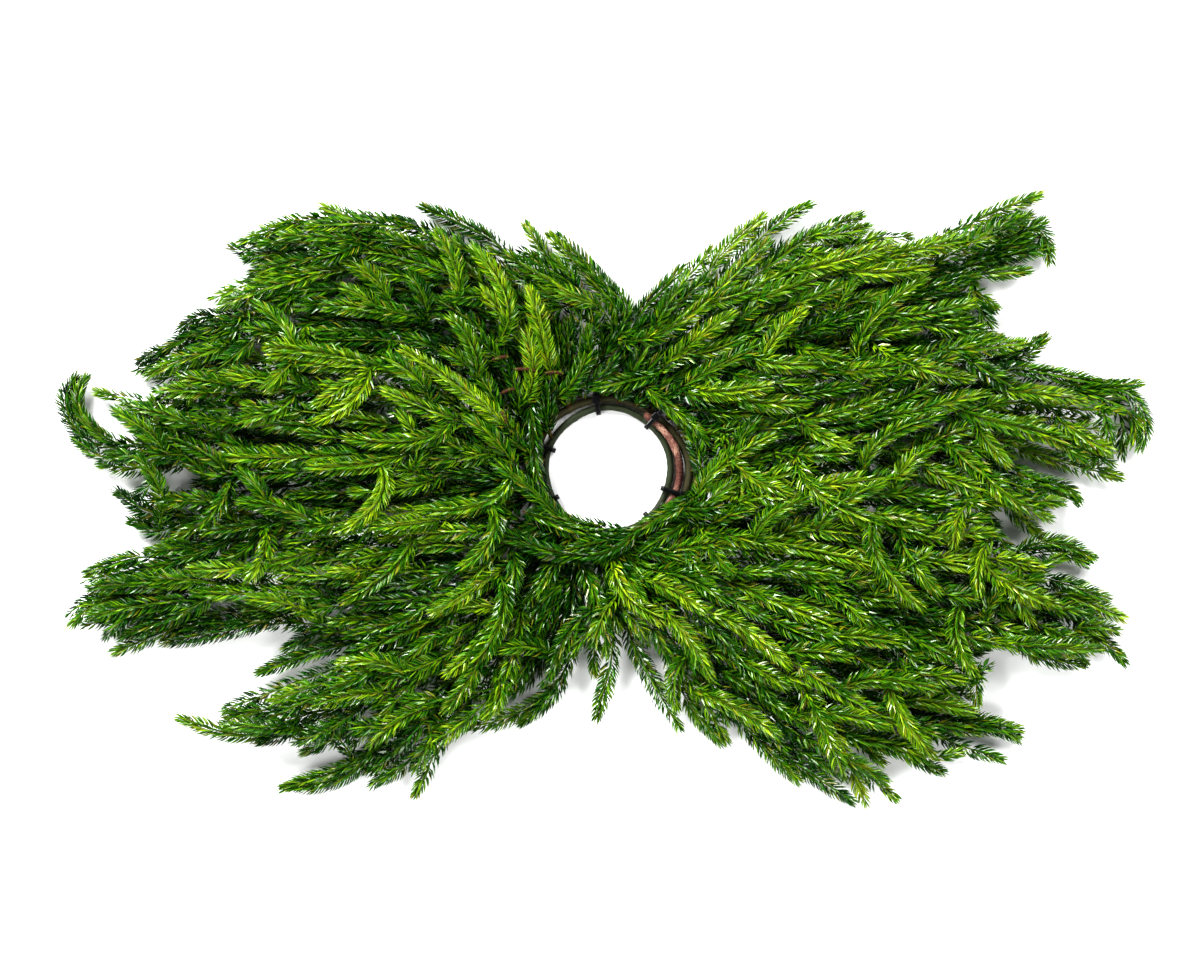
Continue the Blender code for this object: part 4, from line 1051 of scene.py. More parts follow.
    def fringe(self) -> None:
        """Adds the shoots along the wings' edge."""
        stems = {SPRAYS[rope.owner].name: rope for rope in self.ropes if not rope.shoot}
        for name, share, points in EDGE_SHOOTS:
            stem = stems[name]
            index = int(share * (len(stem.path) - 1))
            self.grow(stem, index, smooth_path([stem.path[index, :2], *points]), EDGE_LIE)

    def drape_over_ring(self) -> None:
        """Adds the sprigs that lie along the ring."""
        names = [spray.name for spray in SPRAYS]
        for name, points in RING_SPRIGS:
            angle, distance, height = np.transpose(points)
            path = smooth_path(self.ring.point(angle, distance, height))
            self.ropes.append(Rope(names.index(name), path, True, True))

    def tuck(self) -> None:
        """Adds a sprig beside each stem that butts against the ring, from over the strands to the stem."""
        stems = {rope.owner: rope.path for rope in self.ropes if not rope.shoot}
        for owner, spray in enumerate(SPRAYS):
            stem = stems[owner]
            angle = spray.angle + (3.0 if owner % 2 else -3.0)
            radius = max(float(clear_distance(angle)) + 2.0, self.ring.opening + 3.0)
            start = self.ring.point(angle, radius, self.ring.outer_height + self.ring.outer + 1.2)
            join = min(15, len(stem) - 4)
            aside = level_frame(stem)[1][join] * (3.0 if owner % 2 else -3.0)
            end = stem[join] + aside + (0.0, 0.0, 2.0)
            bend = 0.55 * start + 0.45 * stem[join // 3] + (0.0, 0.0, 1.5)
            self.ropes.append(Rope(owner, smooth_path([start, bend, end]), True, True))


# Needles and stems


class Track:
    """A rope's path read at any distance along it."""

    def __init__(self, path: Array) -> None:
        """Rounds the corners of the heights a little and works out the frame along the path."""
        height = path[:, 2]
        padded = np.concatenate([[height[0]] * 2, height, [height[-1]] * 2])
        rounded = np.convolve(padded, (0.1, 0.22, 0.36, 0.22, 0.1), "valid")
        rounded[0] = height[0]
        self.path = np.column_stack([path[:, :2], rounded])
        self.along = arc_length(self.path)
        self.length = float(self.along[-1])
        self.ahead, self.across, _ = level_frame(self.path)

    def at(self, s: Array) -> tuple[Array, Array, Array, Array]:
        """Position, ahead, across and rise at distances s."""
        place = read_along(s, self.along, self.path)
        ahead = unit(read_along(s, self.along, self.ahead))
        across = read_along(s, self.along, self.across)
        across = unit(across - ahead * (across * ahead).sum(-1, keepdims=True))
        return place, ahead, across, np.cross(ahead, across)


class Crown:
    """Height of the topmost rope over each cell of the ground.

    Attributes:
        corner: the lowest plan point. The highest is opposite.
        cell: size of a cell.
        reach: how many cells a rope covers to each side.
        depth: how far under the topmost rope another still shows.
    """

    corner: Pair = (-340.0, -220.0)
    cell: float = 2.0
    reach: int = 2
    depth: float = 2.2

    def __init__(self, ropes: Sequence[Rope]) -> None:
        """Lays the ropes on the cells, each over its neighbours too."""
        self.top = np.zeros([int(-2 * side / self.cell) for side in self.corner])
        points = np.vstack([rope.path for rope in ropes])
        i, j = self.at(points)
        for a in range(-self.reach, self.reach + 1):
            for b in range(-self.reach, self.reach + 1):
                np.maximum.at(self.top, (i + a, j + b), points[:, 2])

    def at(self, points: Array) -> tuple[Array, Array]:
        """Cell of each point."""
        return tuple(((points[:, :2] - self.corner) / self.cell).astype(int).T)

    def shows(self, points: Array) -> Array:
        """Which points have no rope over them."""
        return points[:, 2] > self.top[self.at(points)] - self.depth


@dataclass
class Growth:
    """Needles before they have a surface, as one row each.

    Attributes:
        base: where each starts, inside its stem.
        ahead, out: directions along the stem and away from it.
        lean: angle from ahead at the base, in radians.
        curl: how far that angle closes along the needle.
        length, width: in millimetres.
        youth: 0 for old dark green to 1 for young yellow green. It also carries painted shade, lower for
            needles under the stem, for fill needles and for low ropes, and painted light, higher for high
            ropes.
        share: how far along its rope it stands, 0 to 1.
        tone: a draw from 0 to 1.
        shown: whether it is made finely, as one in sight.
    """

    base: Array
    ahead: Array
    out: Array
    lean: Array
    curl: Array
    length: Array
    width: Array
    youth: Array
    share: Array
    tone: Array
    shown: Array

    def kept(self, keep: Array) -> "Growth":
        """Only the needles where keep is true."""
        return Growth(**{name: value[keep] for name, value in vars(self).items()})

    def middle(self, share: float) -> tuple[Array, Array]:
        """Points and directions at a share of the length.

        The angle from ahead falls evenly from lean, so the point is the integral of its cosine along ahead
        and of its sine outward.
        """
        angle = self.lean - self.curl * share
        forth = self.length * (np.sin(self.lean) - np.sin(angle)) / self.curl
        aside = self.length * (np.cos(angle) - np.cos(self.lean)) / self.curl
        place = self.base + forth[:, None] * self.ahead + aside[:, None] * self.out
        return place, np.cos(angle)[:, None] * self.ahead + np.sin(angle)[:, None] * self.out


@dataclass(frozen=True)
class Needles:
    """Sizes of the needles, and how they stand on a stem.

    Attributes:
        length, width: in millimetres. The section is a triangle with three equal sides.
        comb: angles round the stem of the rows in sight, in degrees from its left side over its top.
        fill: the same for the needles that lie under other ropes or point down.
        comb_per_mm, fill_per_mm: needles to a millimetre of stem, before the fill is thinned.
        drift: how far the rows wander round the stem, in degrees.
        side_lean, top_lean: angle from the stem at its sides and on its top, in degrees.
        open: lowest and highest share of that angle from rope to rope.
        curl: share of it that a needle loses towards its tip.
        lift: how much higher the youth value of needles on top is than that of those at the sides, and
            theirs than that of the lowest: painted light on top and painted shade underneath.
        bare, end: stem without needles at the root and at the tip.
        down: rise of a direction under which it points down.
        low: height under which a rope is one of the lowest.
        underneath: share left of the needles that point down, in the lowest ropes and in others.
        buried: share left of the needles under other ropes.
        fine, plain: place and width of each ring of points on a needle in sight and on a buried one.
        floor, soft: least height of a needle's middle line, and how softly it is kept.
        sunk: how deep in its stem a needle starts.
        spread: deviation of the rows' turn, of a needle's turn and of its lean, in degrees.
        least_lean: in degrees.
        wave: length along the stem in which the rows drift by a radian.
        tip_over, root_over: length of stem over which needles shorten towards its tip and its root.
        gap: share of a needle's cell in the map that is left free at each side.
    """

    length: float = 7.8
    width: float = 0.83
    comb: tuple[float, ...] = (8.0, 172.0, 60.0, 120.0, -30.0, 8.0, 172.0, 60.0, 120.0, 210.0)
    fill: tuple[float, ...] = (0.0, 135.0, 270.0, 45.0, 180.0, 315.0, 90.0, 225.0)
    comb_per_mm: float = 3.4
    fill_per_mm: float = 4.5
    drift: float = 14.0
    side_lean: float = 64.0
    top_lean: float = 40.0
    open: Pair = (0.86, 1.12)
    curl: float = 0.6
    lift: Pair = (0.06, 0.36)
    bare: float = 1.0
    end: float = 1.6
    down: float = -0.6
    low: float = 11.0
    underneath: Pair = (0.55, 0.25)
    buried: float = 0.46
    fine: tuple[Pair, ...] = ((0.3, 1.0), (0.7, 0.84))
    plain: tuple[Pair, ...] = ((0.42, 1.5),)
    floor: float = 0.8
    soft: float = 0.7
    sunk: float = 0.5
    spread: Triple = (9.0, 4.0, 2.4)
    least_lean: float = 12.0
    wave: float = 19.0
    tip_over: float = 16.0
    root_over: float = 8.0
    gap: float = 0.06

    def grow(self, track: Track, crown: Crown, youth: float, ripening: float, rng: Draws) -> list[Growth]:
        """Needles along one rope: combed rows where it is in sight, and fill where they are missing.

        Args:
            track: the rope's track.
            crown: heights of the topmost ropes.
            youth: how young its needles are, 0 to 1, with the rope's painted light and shade.
            ripening: how much younger they are at its tip.
            rng: source of the draws.

        Returns:
            The needles of each kind.
        """
        wander = (rng.normal(0, self.spread[0]), rng.uniform(0, 2 * np.pi))
        comb = self.rows(track, self.comb_per_mm, self.comb, wander, rng)
        fill = self.rows(track, self.fill_per_mm, self.fill, wander, rng)
        for growth in (comb, fill):
            growth.youth += youth + ripening * growth.share**2
            growth.shown = crown.shows(growth.base - self.sunk * growth.out)
        down = fill.out[:, 2] < self.down
        below = np.where(down, np.where(fill.base[:, 2] < self.low, *self.underneath), 1.0)
        left = below * np.where(fill.shown, down, self.buried)
        fill.shown = np.zeros(len(left), bool)
        # The fill needles, mostly under other ropes or pointing down, are made darker: painted shade.
        fill.youth -= 0.1
        return [comb.kept(comb.shown), fill.kept(rng.uniform(0, 1, len(left)) < left)]

    def rows(self, track: Track, per_mm: float, turns: Sequence[float], wander: Pair, rng: Draws) -> Growth:
        """Needles along a whole rope, each at the next of the given angles round the stem.

        Args:
            track: the rope's track.
            per_mm: needles to a millimetre.
            turns: the angles, in degrees.
            wander: how far the rows are turned round the stem, and where on their waves they start.
            rng: source of the draws.

        Returns:
            The needles, whose youth value is only what they differ by from their rope's.
        """
        span = track.length - self.end - self.bare
        count = max(8, int(span * per_mm))
        s = self.bare + span * (np.arange(count) + rng.uniform(0, 0.3, count)) / count
        turn = np.array(turns)[np.arange(count) % len(turns)] + rng.normal(0, self.spread[1], count)
        turn = np.radians(turn + wander[0] + self.drift * np.sin(s / self.wave + wander[1]))
        place, ahead, across, rise = track.at(s)
        out = np.cos(turn)[:, None] * across + np.sin(turn)[:, None] * rise
        aside = np.cos(turn) ** 2
        to_tip = np.clip((track.length - self.end - s) / self.tip_over, 0, 1)
        lean = self.top_lean + (self.side_lean - self.top_lean) * aside
        lean = lean + rng.normal(0, self.spread[2], count)
        lean = lean * rng.uniform(*self.open) * (0.4 + 0.6 * to_tip**0.8)
        lean = np.radians(np.maximum(lean, self.least_lean))
        length = self.length * rng.uniform(0.92, 1.06, count) * (0.72 + 0.28 * to_tip**0.7)
        length *= 0.7 + 0.3 * np.clip(s / self.root_over, 0, 1)
        swirl = rng.normal(0, 0.05, count)[:, None]
        return Growth(
            base=place + self.sunk * out,
            ahead=unit(ahead + swirl * np.cross(ahead, out)),
            out=out,
            lean=lean,
            curl=lean * self.curl * rng.uniform(0.8, 1.2, count),
            length=length,
            width=self.width * rng.uniform(0.85, 1.12, count) * (0.82 + 0.18 * to_tip),
            # Needles low round the stem get a lower value, painted shade; those on top a slightly higher
            # one, painted light.
            youth=np.where(out[:, 2] > 0, *self.lift) * out[:, 2] + rng.normal(0, 0.06, count),
            share=s / track.length,
            tone=rng.uniform(0, 1, count),
            shown=np.ones(count, bool),
        )

    def surface(self, growth: Growth, shown: bool, rows: Pair, rng: Draws) -> Surface:
        """Spindles: a point inside the stem, rings of three points and the tip.

        Middle lines that would go under the table are bent up by a soft minimum.

        Args:
            growth: the needles, of which either those in sight or the buried ones are made.
            shown: which of the two.
            rows: lowest and highest v in the map.
            rng: source of the draws.

        Returns:
            The surface, with "along", "youth" and "tone" for each vertex.
        """
        growth = growth.kept(growth.shown == shown)
        stations = self.fine if shown else self.plain
        count = len(growth.base)
        edge = unit(np.cross(growth.ahead, growth.out))
        roll = rng.uniform(0, 2 * np.pi / 3, count)[:, None, None]
        roll = roll + 2 * np.pi * np.arange(3)[None, :, None] / 3
        levels = []
        for share, width in ((0.0, 0.0), *stations, (1.0, 0.0)):
            place, along = growth.middle(share)
            place[:, 2] = self.floor + np.logaddexp(0.0, (place[:, 2] - self.floor) / self.soft) * self.soft
            if width == 0.0:
                levels.append(place[:, None])
                continue
            back = np.cross(edge, along)
            radius = (width * growth.width / math.sqrt(3))[:, None, None]
            away = np.cos(roll) * edge[:, None] + np.sin(roll) * back[:, None]
            levels.append(place[:, None] + radius * away)
        points = np.concatenate(levels, axis=1)
        pattern, cell = self.pattern([share for share, _ in stations])
        size = points.shape[1]
        faces = pattern[None] + size * np.arange(count)[:, None, None]
        shares = np.array([0.0, *np.repeat([share for share, _ in stations], 3), 1.0])
        marks = {"along": np.tile(shares, count)}
        marks |= {name: np.repeat(getattr(growth, name), size) for name in ("youth", "tone")}
        uv = self.map_cells(cell, count, rows)
        return Surface(points.reshape(-1, 3), faces.reshape(-1, 3), uv, marks, smooth=False)

    def pattern(self, shares: Sequence[float]) -> tuple[Array, Array]:
        """The surface of one needle: level 0 is its base, then come rings of three points, then its tip.

        Args:
            shares: where the needle has its rings.

        Returns:
            (n, 3) vertices of its faces, and (n, 3, 2) places of their corners in its cell of the map,
            where its three long sides lie next to each other.
        """
        rings = len(shares)
        corners = [((0, 0.5), (1, 1), (1, 0)), ((rings, 0), (rings, 1), (rings + 1, 0.5))]
        for n in range(1, rings):
            corners[-1:-1] = [((n, 0), (n, 1), (n + 1, 1)), ((n, 0), (n + 1, 1), (n + 1, 0))]
        level, column = np.moveaxis(np.array(corners)[:, None] + np.zeros((3, 1, 1)), -1, 0)
        column = column + np.arange(3)[:, None]
        vertices = np.where(level == 0, 0, np.minimum(3 * level - 2 + column % 3, 3 * rings + 1))
        u = np.array((0.0, *shares, 1.0))[level.astype(int)]
        places = self.gap + (1 - 2 * self.gap) * np.stack([u, column / 3], -1)
        return vertices.astype(int).reshape(-1, 3), places.reshape(-1, 3, 2)

    def map_cells(self, cell: Array, count: int, rows: Pair) -> Array:
        """A cell of the map for each needle.

        Args:
            cell: places of a needle's corners in its cell.
            count: how many needles there are.
            rows: lowest and highest v in the map.

        Returns:
            Places of the corners of every face.
        """
        columns = max(1, int(math.sqrt(count / 3)))
        lines = -(-count // columns)
        number = np.arange(count)
        corner = np.stack([number % columns, number // columns], -1)[:, None, None]
        uv = (corner + cell[None]) / (columns, lines)
        return (uv * (1.0, rows[1] - rows[0]) + (0.0, rows[0])).reshape(-1, 3, 2)


def clear_distance(angle: Array | float) -> Array:
    """How near the ring's axis the foliage comes at an angle in degrees."""
    where, distance = np.transpose(CLEAR_EDGE)
    return np.interp(angle, where, distance, period=360.0)


@dataclass(frozen=True)
class Foliage:
    """All the sprays.

    Attributes:
        ring: the ring they leave.
        needles: what their needles are like.
        stem_sides, stem_step: sides of a stem, and distance between its rings.
        slim: radius at a root and at a tip.
    """

    ring: Ring
    needles: Needles = Needles()
    stem_sides: int = 4
    stem_step: float = 6.0
    slim: Pair = (1.5, 0.6)

    def rope_youth_and_shade(self, rope: Rope, rng: Draws) -> float:
        """How young a rope's needles are, with painted light: the value is higher high in the pile, where
        the rope is lit, and lower low in it, as painted shade; it also rises towards the right and the
        back.
        """
        middle = rope.path.mean(axis=0)
        # Ropes high in the pile are made lighter and low ones darker: painted light and shade.
        high = np.clip((middle[2] - RULE.rest) / 16.0, 0, 1)
        side = 0.08 * middle[0] / 290 + 0.03 * middle[1] / 160
        return float(0.16 + 0.34 * high + side + rng.normal(0, 0.09))

    def stem(self, track: Track, rope: Rope, youth: float, rows: Pair) -> Surface:
        """A stem's surface: a tube that thins to its tip, with slight swellings where needles leave it."""
        count = max(4, int(track.length / self.stem_step))
        s = np.linspace(0, track.length - self.needles.end + 1.5, count)
        place, _, across, rise = track.at(s)
        share = np.linspace(0, 1, count)
        root = 0.6 * self.slim[0] if rope.shoot else self.slim[0]
        radius = np.maximum(root * (1 - share) ** 2, self.slim[1]) * (1 + 0.06 * np.sin(s * 1.7))
        radius[-1] *= 0.3
        made = swept(place, across, rise, ring_rim(radius, self.stem_sides), False, rows)
        made.marks["youth"] = np.clip(youth + 0.4 * made.marks["along"], 0, 1)
        made.slot = 1
        return made

    def twig(self, ends: Sequence[Pair], crown: Crown) -> Surface:
        """A bare twig just over the ropes under it, slightly bent, between two plan points."""
        plan = np.array((ends[0], np.mean(ends, axis=0) + 0.6, ends[1]))
        height = crown.top[crown.at(plan)].max() + 1.0
        path = smooth_path(np.column_stack([plan, height + np.array((0.0, 0.5, -0.8))]), 0.8)
        _, across, rise = level_frame(path)
        radius = 1.05 * np.sqrt(np.clip(np.minimum(arc_length(path), 1.2) / 1.2, 0.3, 1.0))
        made = swept(path, across, rise, ring_rim(radius, 8), False, (0.092, 0.098))
        made.marks = {"along": np.zeros(len(made.points))}
        made.slot = 1
        return made

    def keeps_clear(self, growth: Growth) -> Array:
        """Which needles keep out of the opening, and off the parts of the ring that show."""
        points = [growth.middle(share)[0] for share in (0.35, 0.7, 1.0)]
        angle, distance = self.ring.polar(np.stack(points, 1))
        edge = clear_distance(angle) + 3.0 * (growth.tone[:, None] - 0.6)
        return (distance > edge).all(axis=1)

    def spray(
        self, number: int, ropes: Sequence[Rope], crown: Crown, finishes: Sequence[Material]
    ) -> Object:
        """Builds one spray as a single piece.

        Args:
            number: its number in the table.
            ropes: its stem and shoots.
            crown: heights of the topmost ropes.
            finishes: finishes of the needles and of the stems.

        Returns:
            The piece.
        """
        rng = np.random.default_rng((SEED, number))
        growths = []
        stems = [self.twig(ends, crown) for name, ends in TWIGS if name == SPRAYS[number].name]
        for k, rope in enumerate(ropes):
            track = Track(rope.path)
            youth = self.rope_youth_and_shade(rope, rng)
            rows = (0.09 * k / len(ropes) + 0.001, 0.09 * (k + 1) / len(ropes) - 0.001)
            stems.append(self.stem(track, rope, youth, rows))
            for growth in self.needles.grow(track, crown, youth, 0.1 if rope.added else 0.3, rng):
                growths.append(growth.kept(self.keeps_clear(growth)))
        names = vars(growths[0])
        joined = Growth(**{name: np.concatenate([getattr(g, name) for g in growths]) for name in names})
        middle = 0.1 + 0.9 * joined.shown.mean()
        shown = self.needles.surface(joined, True, (0.1, middle), rng)
        buried = self.needles.surface(joined, False, (middle, 1.0), rng)
        return make_piece(f"{SPRAYS[number].name}_spray", [shown, buried, *stems], finishes)

    def build(self, layout: Layout, finishes: Sequence[Material]) -> list[Object]:
        """Builds every spray, rides it on the body and lets it stand for its solid."""
        pieces = []
        crown = Crown(layout.ropes)
        for number, spray in enumerate(SPRAYS):
            ropes = [rope for rope in layout.ropes if rope.owner == number]
            piece = self.spray(number, ropes, crown, finishes)
            register(piece, f"spray_{spray.name}")
            pieces.append(piece)
        return pieces


def register(piece: Object, node: str) -> None:
    """Rides a piece on the body and lets it stand for a solid."""
    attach(piece, "root")
    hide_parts(node)
    LOG.info("%s replaces %s with %d faces", piece.name, node, len(piece.data.polygons))


# Strands and ties


def waves(x: Array, rng: Draws, low: int, high: int, fall: float = 0.5) -> Array:
    """A sum of sines with frequencies from low to high, which closes on itself, at most about 1."""
    total = np.zeros_like(x)
    for frequency in range(low, high + 1):
        total = total + np.sin(frequency * x + rng.uniform(0, 2 * np.pi)) * (low / frequency) ** fall
    return total / (1.4 * math.sqrt(high - low + 1))


@dataclass(frozen=True)
class Strand:
    """One strand of the ring.

    Attributes:
        ring: the ring.
        kind: which strand it is.
        radius: its radius as a solid.
        slot: name of its material slot; not used.
        steps, sides: rings along it and points round it.
        slim: share of the solid's radius that it has on average.
        wobble: how much its thickness varies, as a share.
        grooves: depth of the grooves along it, as a share.
        knots: (place, width, height) of its knots, as shares of its length and radius.
        taper: share of its length over which an open end is rounded.
    """

    ring: Ring
    kind: StrandKind
    radius: float
    slot: str
    steps: int = 360
    sides: int = 14
    slim: float = 0.9
    wobble: float = 0.05
    grooves: float = 0.03
    knots: tuple[Triple, ...] = ()
    taper: float = 0.02

    def surface(self) -> Surface:
        """A tube whose radius is the strand's own times waves along it, grooves round it and knots."""
        rng = np.random.default_rng((SEED, len(self.kind.value), self.steps))
        closed = self.kind is not StrandKind.BARK
        path = self.ring.line(self.kind, self.steps)
        _, across, rise = level_frame(path, closed)
        u = np.linspace(0, 1, self.steps, endpoint=not closed)[:, None]
        turn = 2 * np.pi * (np.arange(self.sides) + 0.5)[None] / self.sides
        grain = 1 + self.wobble * waves(2 * np.pi * u, rng, 3, 26)
        grain = grain + self.grooves * np.sin(5 * turn + 9 * np.sin(2 * np.pi * u) + 24 * np.pi * u)
        grain = grain + self.grooves * waves(2 * np.pi * u, rng, 40, 70) * np.cos(2 * turn)
        for at, width, height in self.knots:
            away = (u - at + 0.5) % 1 - 0.5
            grain = grain + height * np.exp(-((away / width) ** 2)) * (1 + 0.5 * np.cos(turn - 40 * at))
        if not closed:
            ends = np.minimum(u, 1 - u) / self.taper
            grain = grain * np.sqrt(np.clip(1 - (1 - np.clip(ends, 0, 1)) ** 2, 0.04, 1))
        rim = ring_rim(self.radius * self.slim * grain, self.sides)
        made = swept(path, across, rise, rim, closed, (0.02, 0.98))
        made.marks["youth"] = np.zeros(len(made.points))
        return made

    def build(self, finish: Material) -> Object:
        """Builds the strand and lets it stand for its solid."""
        piece = make_piece(f"{self.kind.value}_strand", [self.surface()], [finish])
        register(piece, f"ring_strand_{self.kind.value}")
        return piece


def rounded_block(
    middle: Array, size: Sequence[float], axes: Sequence[Array], power: float, count: int
) -> Surface:
    """A block with rounded edges: a sphere's grid whose coordinates are raised to a power below 1.

    Args:
        middle: its middle.
        size: its length along each axis.
        axes: three unit vectors.
        power: 1 gives an ellipsoid and less gives a squarer block.
        count: points round it.

    Returns:
        The surface.
    """

    def raised(values: Array) -> Array:
        """Values raised to the power, with their signs kept."""
        return np.sign(values) * np.abs(values) ** power

    lift = np.linspace(0, np.pi, count // 2 + 1)[1:-1]
    turn = 2 * np.pi * (np.arange(count) + 0.5) / count
    x, y, z = (np.asarray(a) for a in axes)
    path = middle + np.outer(-raised(np.cos(lift)) * size[2] / 2, z)
    ring = (np.sin(lift) ** power)[:, None]
    rim = np.stack([ring * raised(wave(turn)) * side / 2 for wave, side in zip((np.cos, np.sin), size)], -1)
    ones = np.ones((len(lift), 1))
    return swept(path, ones * x, ones * y, rim, False, (0.02, 0.98))


# Profiles of a tie's strap and tail, as shares of half the width and half the thickness
STRAP_PROFILE = np.array((
    (-1, -0.5), (-0.86, -0.92), (0.86, -0.92), (1, -0.5), (1, 0.5), (0.86, 1), (0.6, 0.9), (-0.6, 0.9),
    (-0.86, 1), (-1, 0.5),
))
TAIL_PROFILE = np.array((
    (-1, -0.8), (-0.8, -1), (0.8, -1), (1, -0.8), (1, 0.6), (0.62, 0.8), (-0.62, 0.8), (-1, 0.6),
))
TAIL_TOP = slice(5, 7)


@dataclass(frozen=True)
class TieShape:
    """Builds a tie's surfaces.

    Attributes:
        tie: the tie.
        pitch: distance between the strap's rings.
        corner_steps: points on a quarter turn of the strap.
        teeth, tooth: distance between the teeth of the tail, and their height.
        sunk: how far the tail's top is lowered for them.
        tail_rings: rings along the tail.
        taper: length over which the tail's ends get thinner.
        head_sides: points round the head.
        squareness: power for the head's rounded edges.
    """

    tie: Tie
    pitch: float = 0.6
    corner_steps: int = 7
    teeth: float = 0.9
    tooth: float = 0.16
    sunk: float = 0.05
    tail_rings: int = 48
    taper: float = 0.12
    head_sides: int = 28
    squareness: float = 0.28

    def strap(self) -> Surface:
        """The strap: a flat profile with rounded edges, carried round the strands."""
        tie = self.tie
        side = tie.axes()[1]
        corners = tie.outline(np.radians(np.linspace(0, 90, self.corner_steps)))
        loop = np.vstack([corners, corners[:1]])
        along = arc_length(loop)
        count = int(along[-1] / self.pitch)
        flat = read_along(np.linspace(0, along[-1], count, endpoint=False), along, loop)
        path = tie.ring.point(np.full(count, tie.angle), flat[:, 0], 0.0) + np.outer(flat[:, 1], UP)
        ahead = unit(np.roll(path, -1, axis=0) - np.roll(path, 1, axis=0))
        rise = np.cross(ahead, side)
        profile = STRAP_PROFILE * (tie.width / 2, tie.ring.strap / 2)
        rim = np.broadcast_to(profile, (count, *profile.shape))
        return swept(path, np.broadcast_to(side, path.shape), rise, rim, True, (0.02, 0.4))

    def tail(self) -> Surface:
        """The tail: a flat bar with teeth across its top, like a saw."""
        tie = self.tie
        out, side, up = tie.axes()
        _, middle = tie.head_and_tail()
        length, width, thick = tie.tail
        s = np.linspace(-length / 2, length / 2, self.tail_rings)
        saw = self.tooth * ((s / self.teeth) % 1.0)
        path = middle + s[:, None] * out
        ends = np.clip((length / 2 - np.abs(s)) / self.taper, 0.3, 1)
        rim = TAIL_PROFILE[None] * (width / 2, thick / 2) * ends[:, None, None]
        rim[:, TAIL_TOP, 1] += saw[:, None] - self.sunk
        rows = np.ones((len(s), 1))
        return swept(path, -rows * side, rows * up, rim, False, (0.42, 0.6))

    def head(self) -> Surface:
        """The ratchet head, a block with rounded edges."""
        middle, _ = self.tie.head_and_tail()
        return rounded_block(middle, self.tie.head, self.tie.axes(), self.squareness, self.head_sides)

    def build(self, finish: Material) -> Object:
        """Builds the tie as one piece and lets it stand for its solid."""
        head = self.head()
        head.uv = head.uv * (1.0, 0.38) + (0.0, 0.61)
        piece = make_piece(f"cable_tie_{self.tie.number}", [self.strap(), self.tail(), head], [finish])
        register(piece, f"tie_{self.tie.number:02d}")
        return piece


# Finishes


class Value:
    """A socket in a node tree with Python's operators. Each adds one Math node."""

    def __init__(self, tree: "Tree", socket: bpy.types.NodeSocket) -> None:
        """Wraps a socket of a tree."""
        self.tree, self.socket = tree, socket

    def __add__(self, other: "Value | float") -> "Value":
        """self + other."""
        return self.tree.math("ADD", self, other)

    def __sub__(self, other: "Value | float") -> "Value":
        """self - other."""
        return self.tree.math("SUBTRACT", self, other)

    def __rsub__(self, other: float) -> "Value":
        """other - self."""
        return self.tree.math("SUBTRACT", other, self)

    def __mul__(self, other: "Value | float") -> "Value":
        """self * other."""
        return self.tree.math("MULTIPLY", self, other)

    __radd__, __rmul__ = __add__, __mul__

    def held(self) -> "Value":
        """self kept between 0 and 1."""
        return self.tree.node("ShaderNodeClamp", {}, {"Value": self})

    def ramp(self, low: float, high: float) -> "Value":
        """0 below low to 1 above high, with a smooth step between."""
        settings = {"interpolation_type": "SMOOTHSTEP"}
        sockets = {"Value": self, "From Min": low, "From Max": high}
        return self.tree.node("ShaderNodeMapRange", settings, sockets)


Colour = Triple


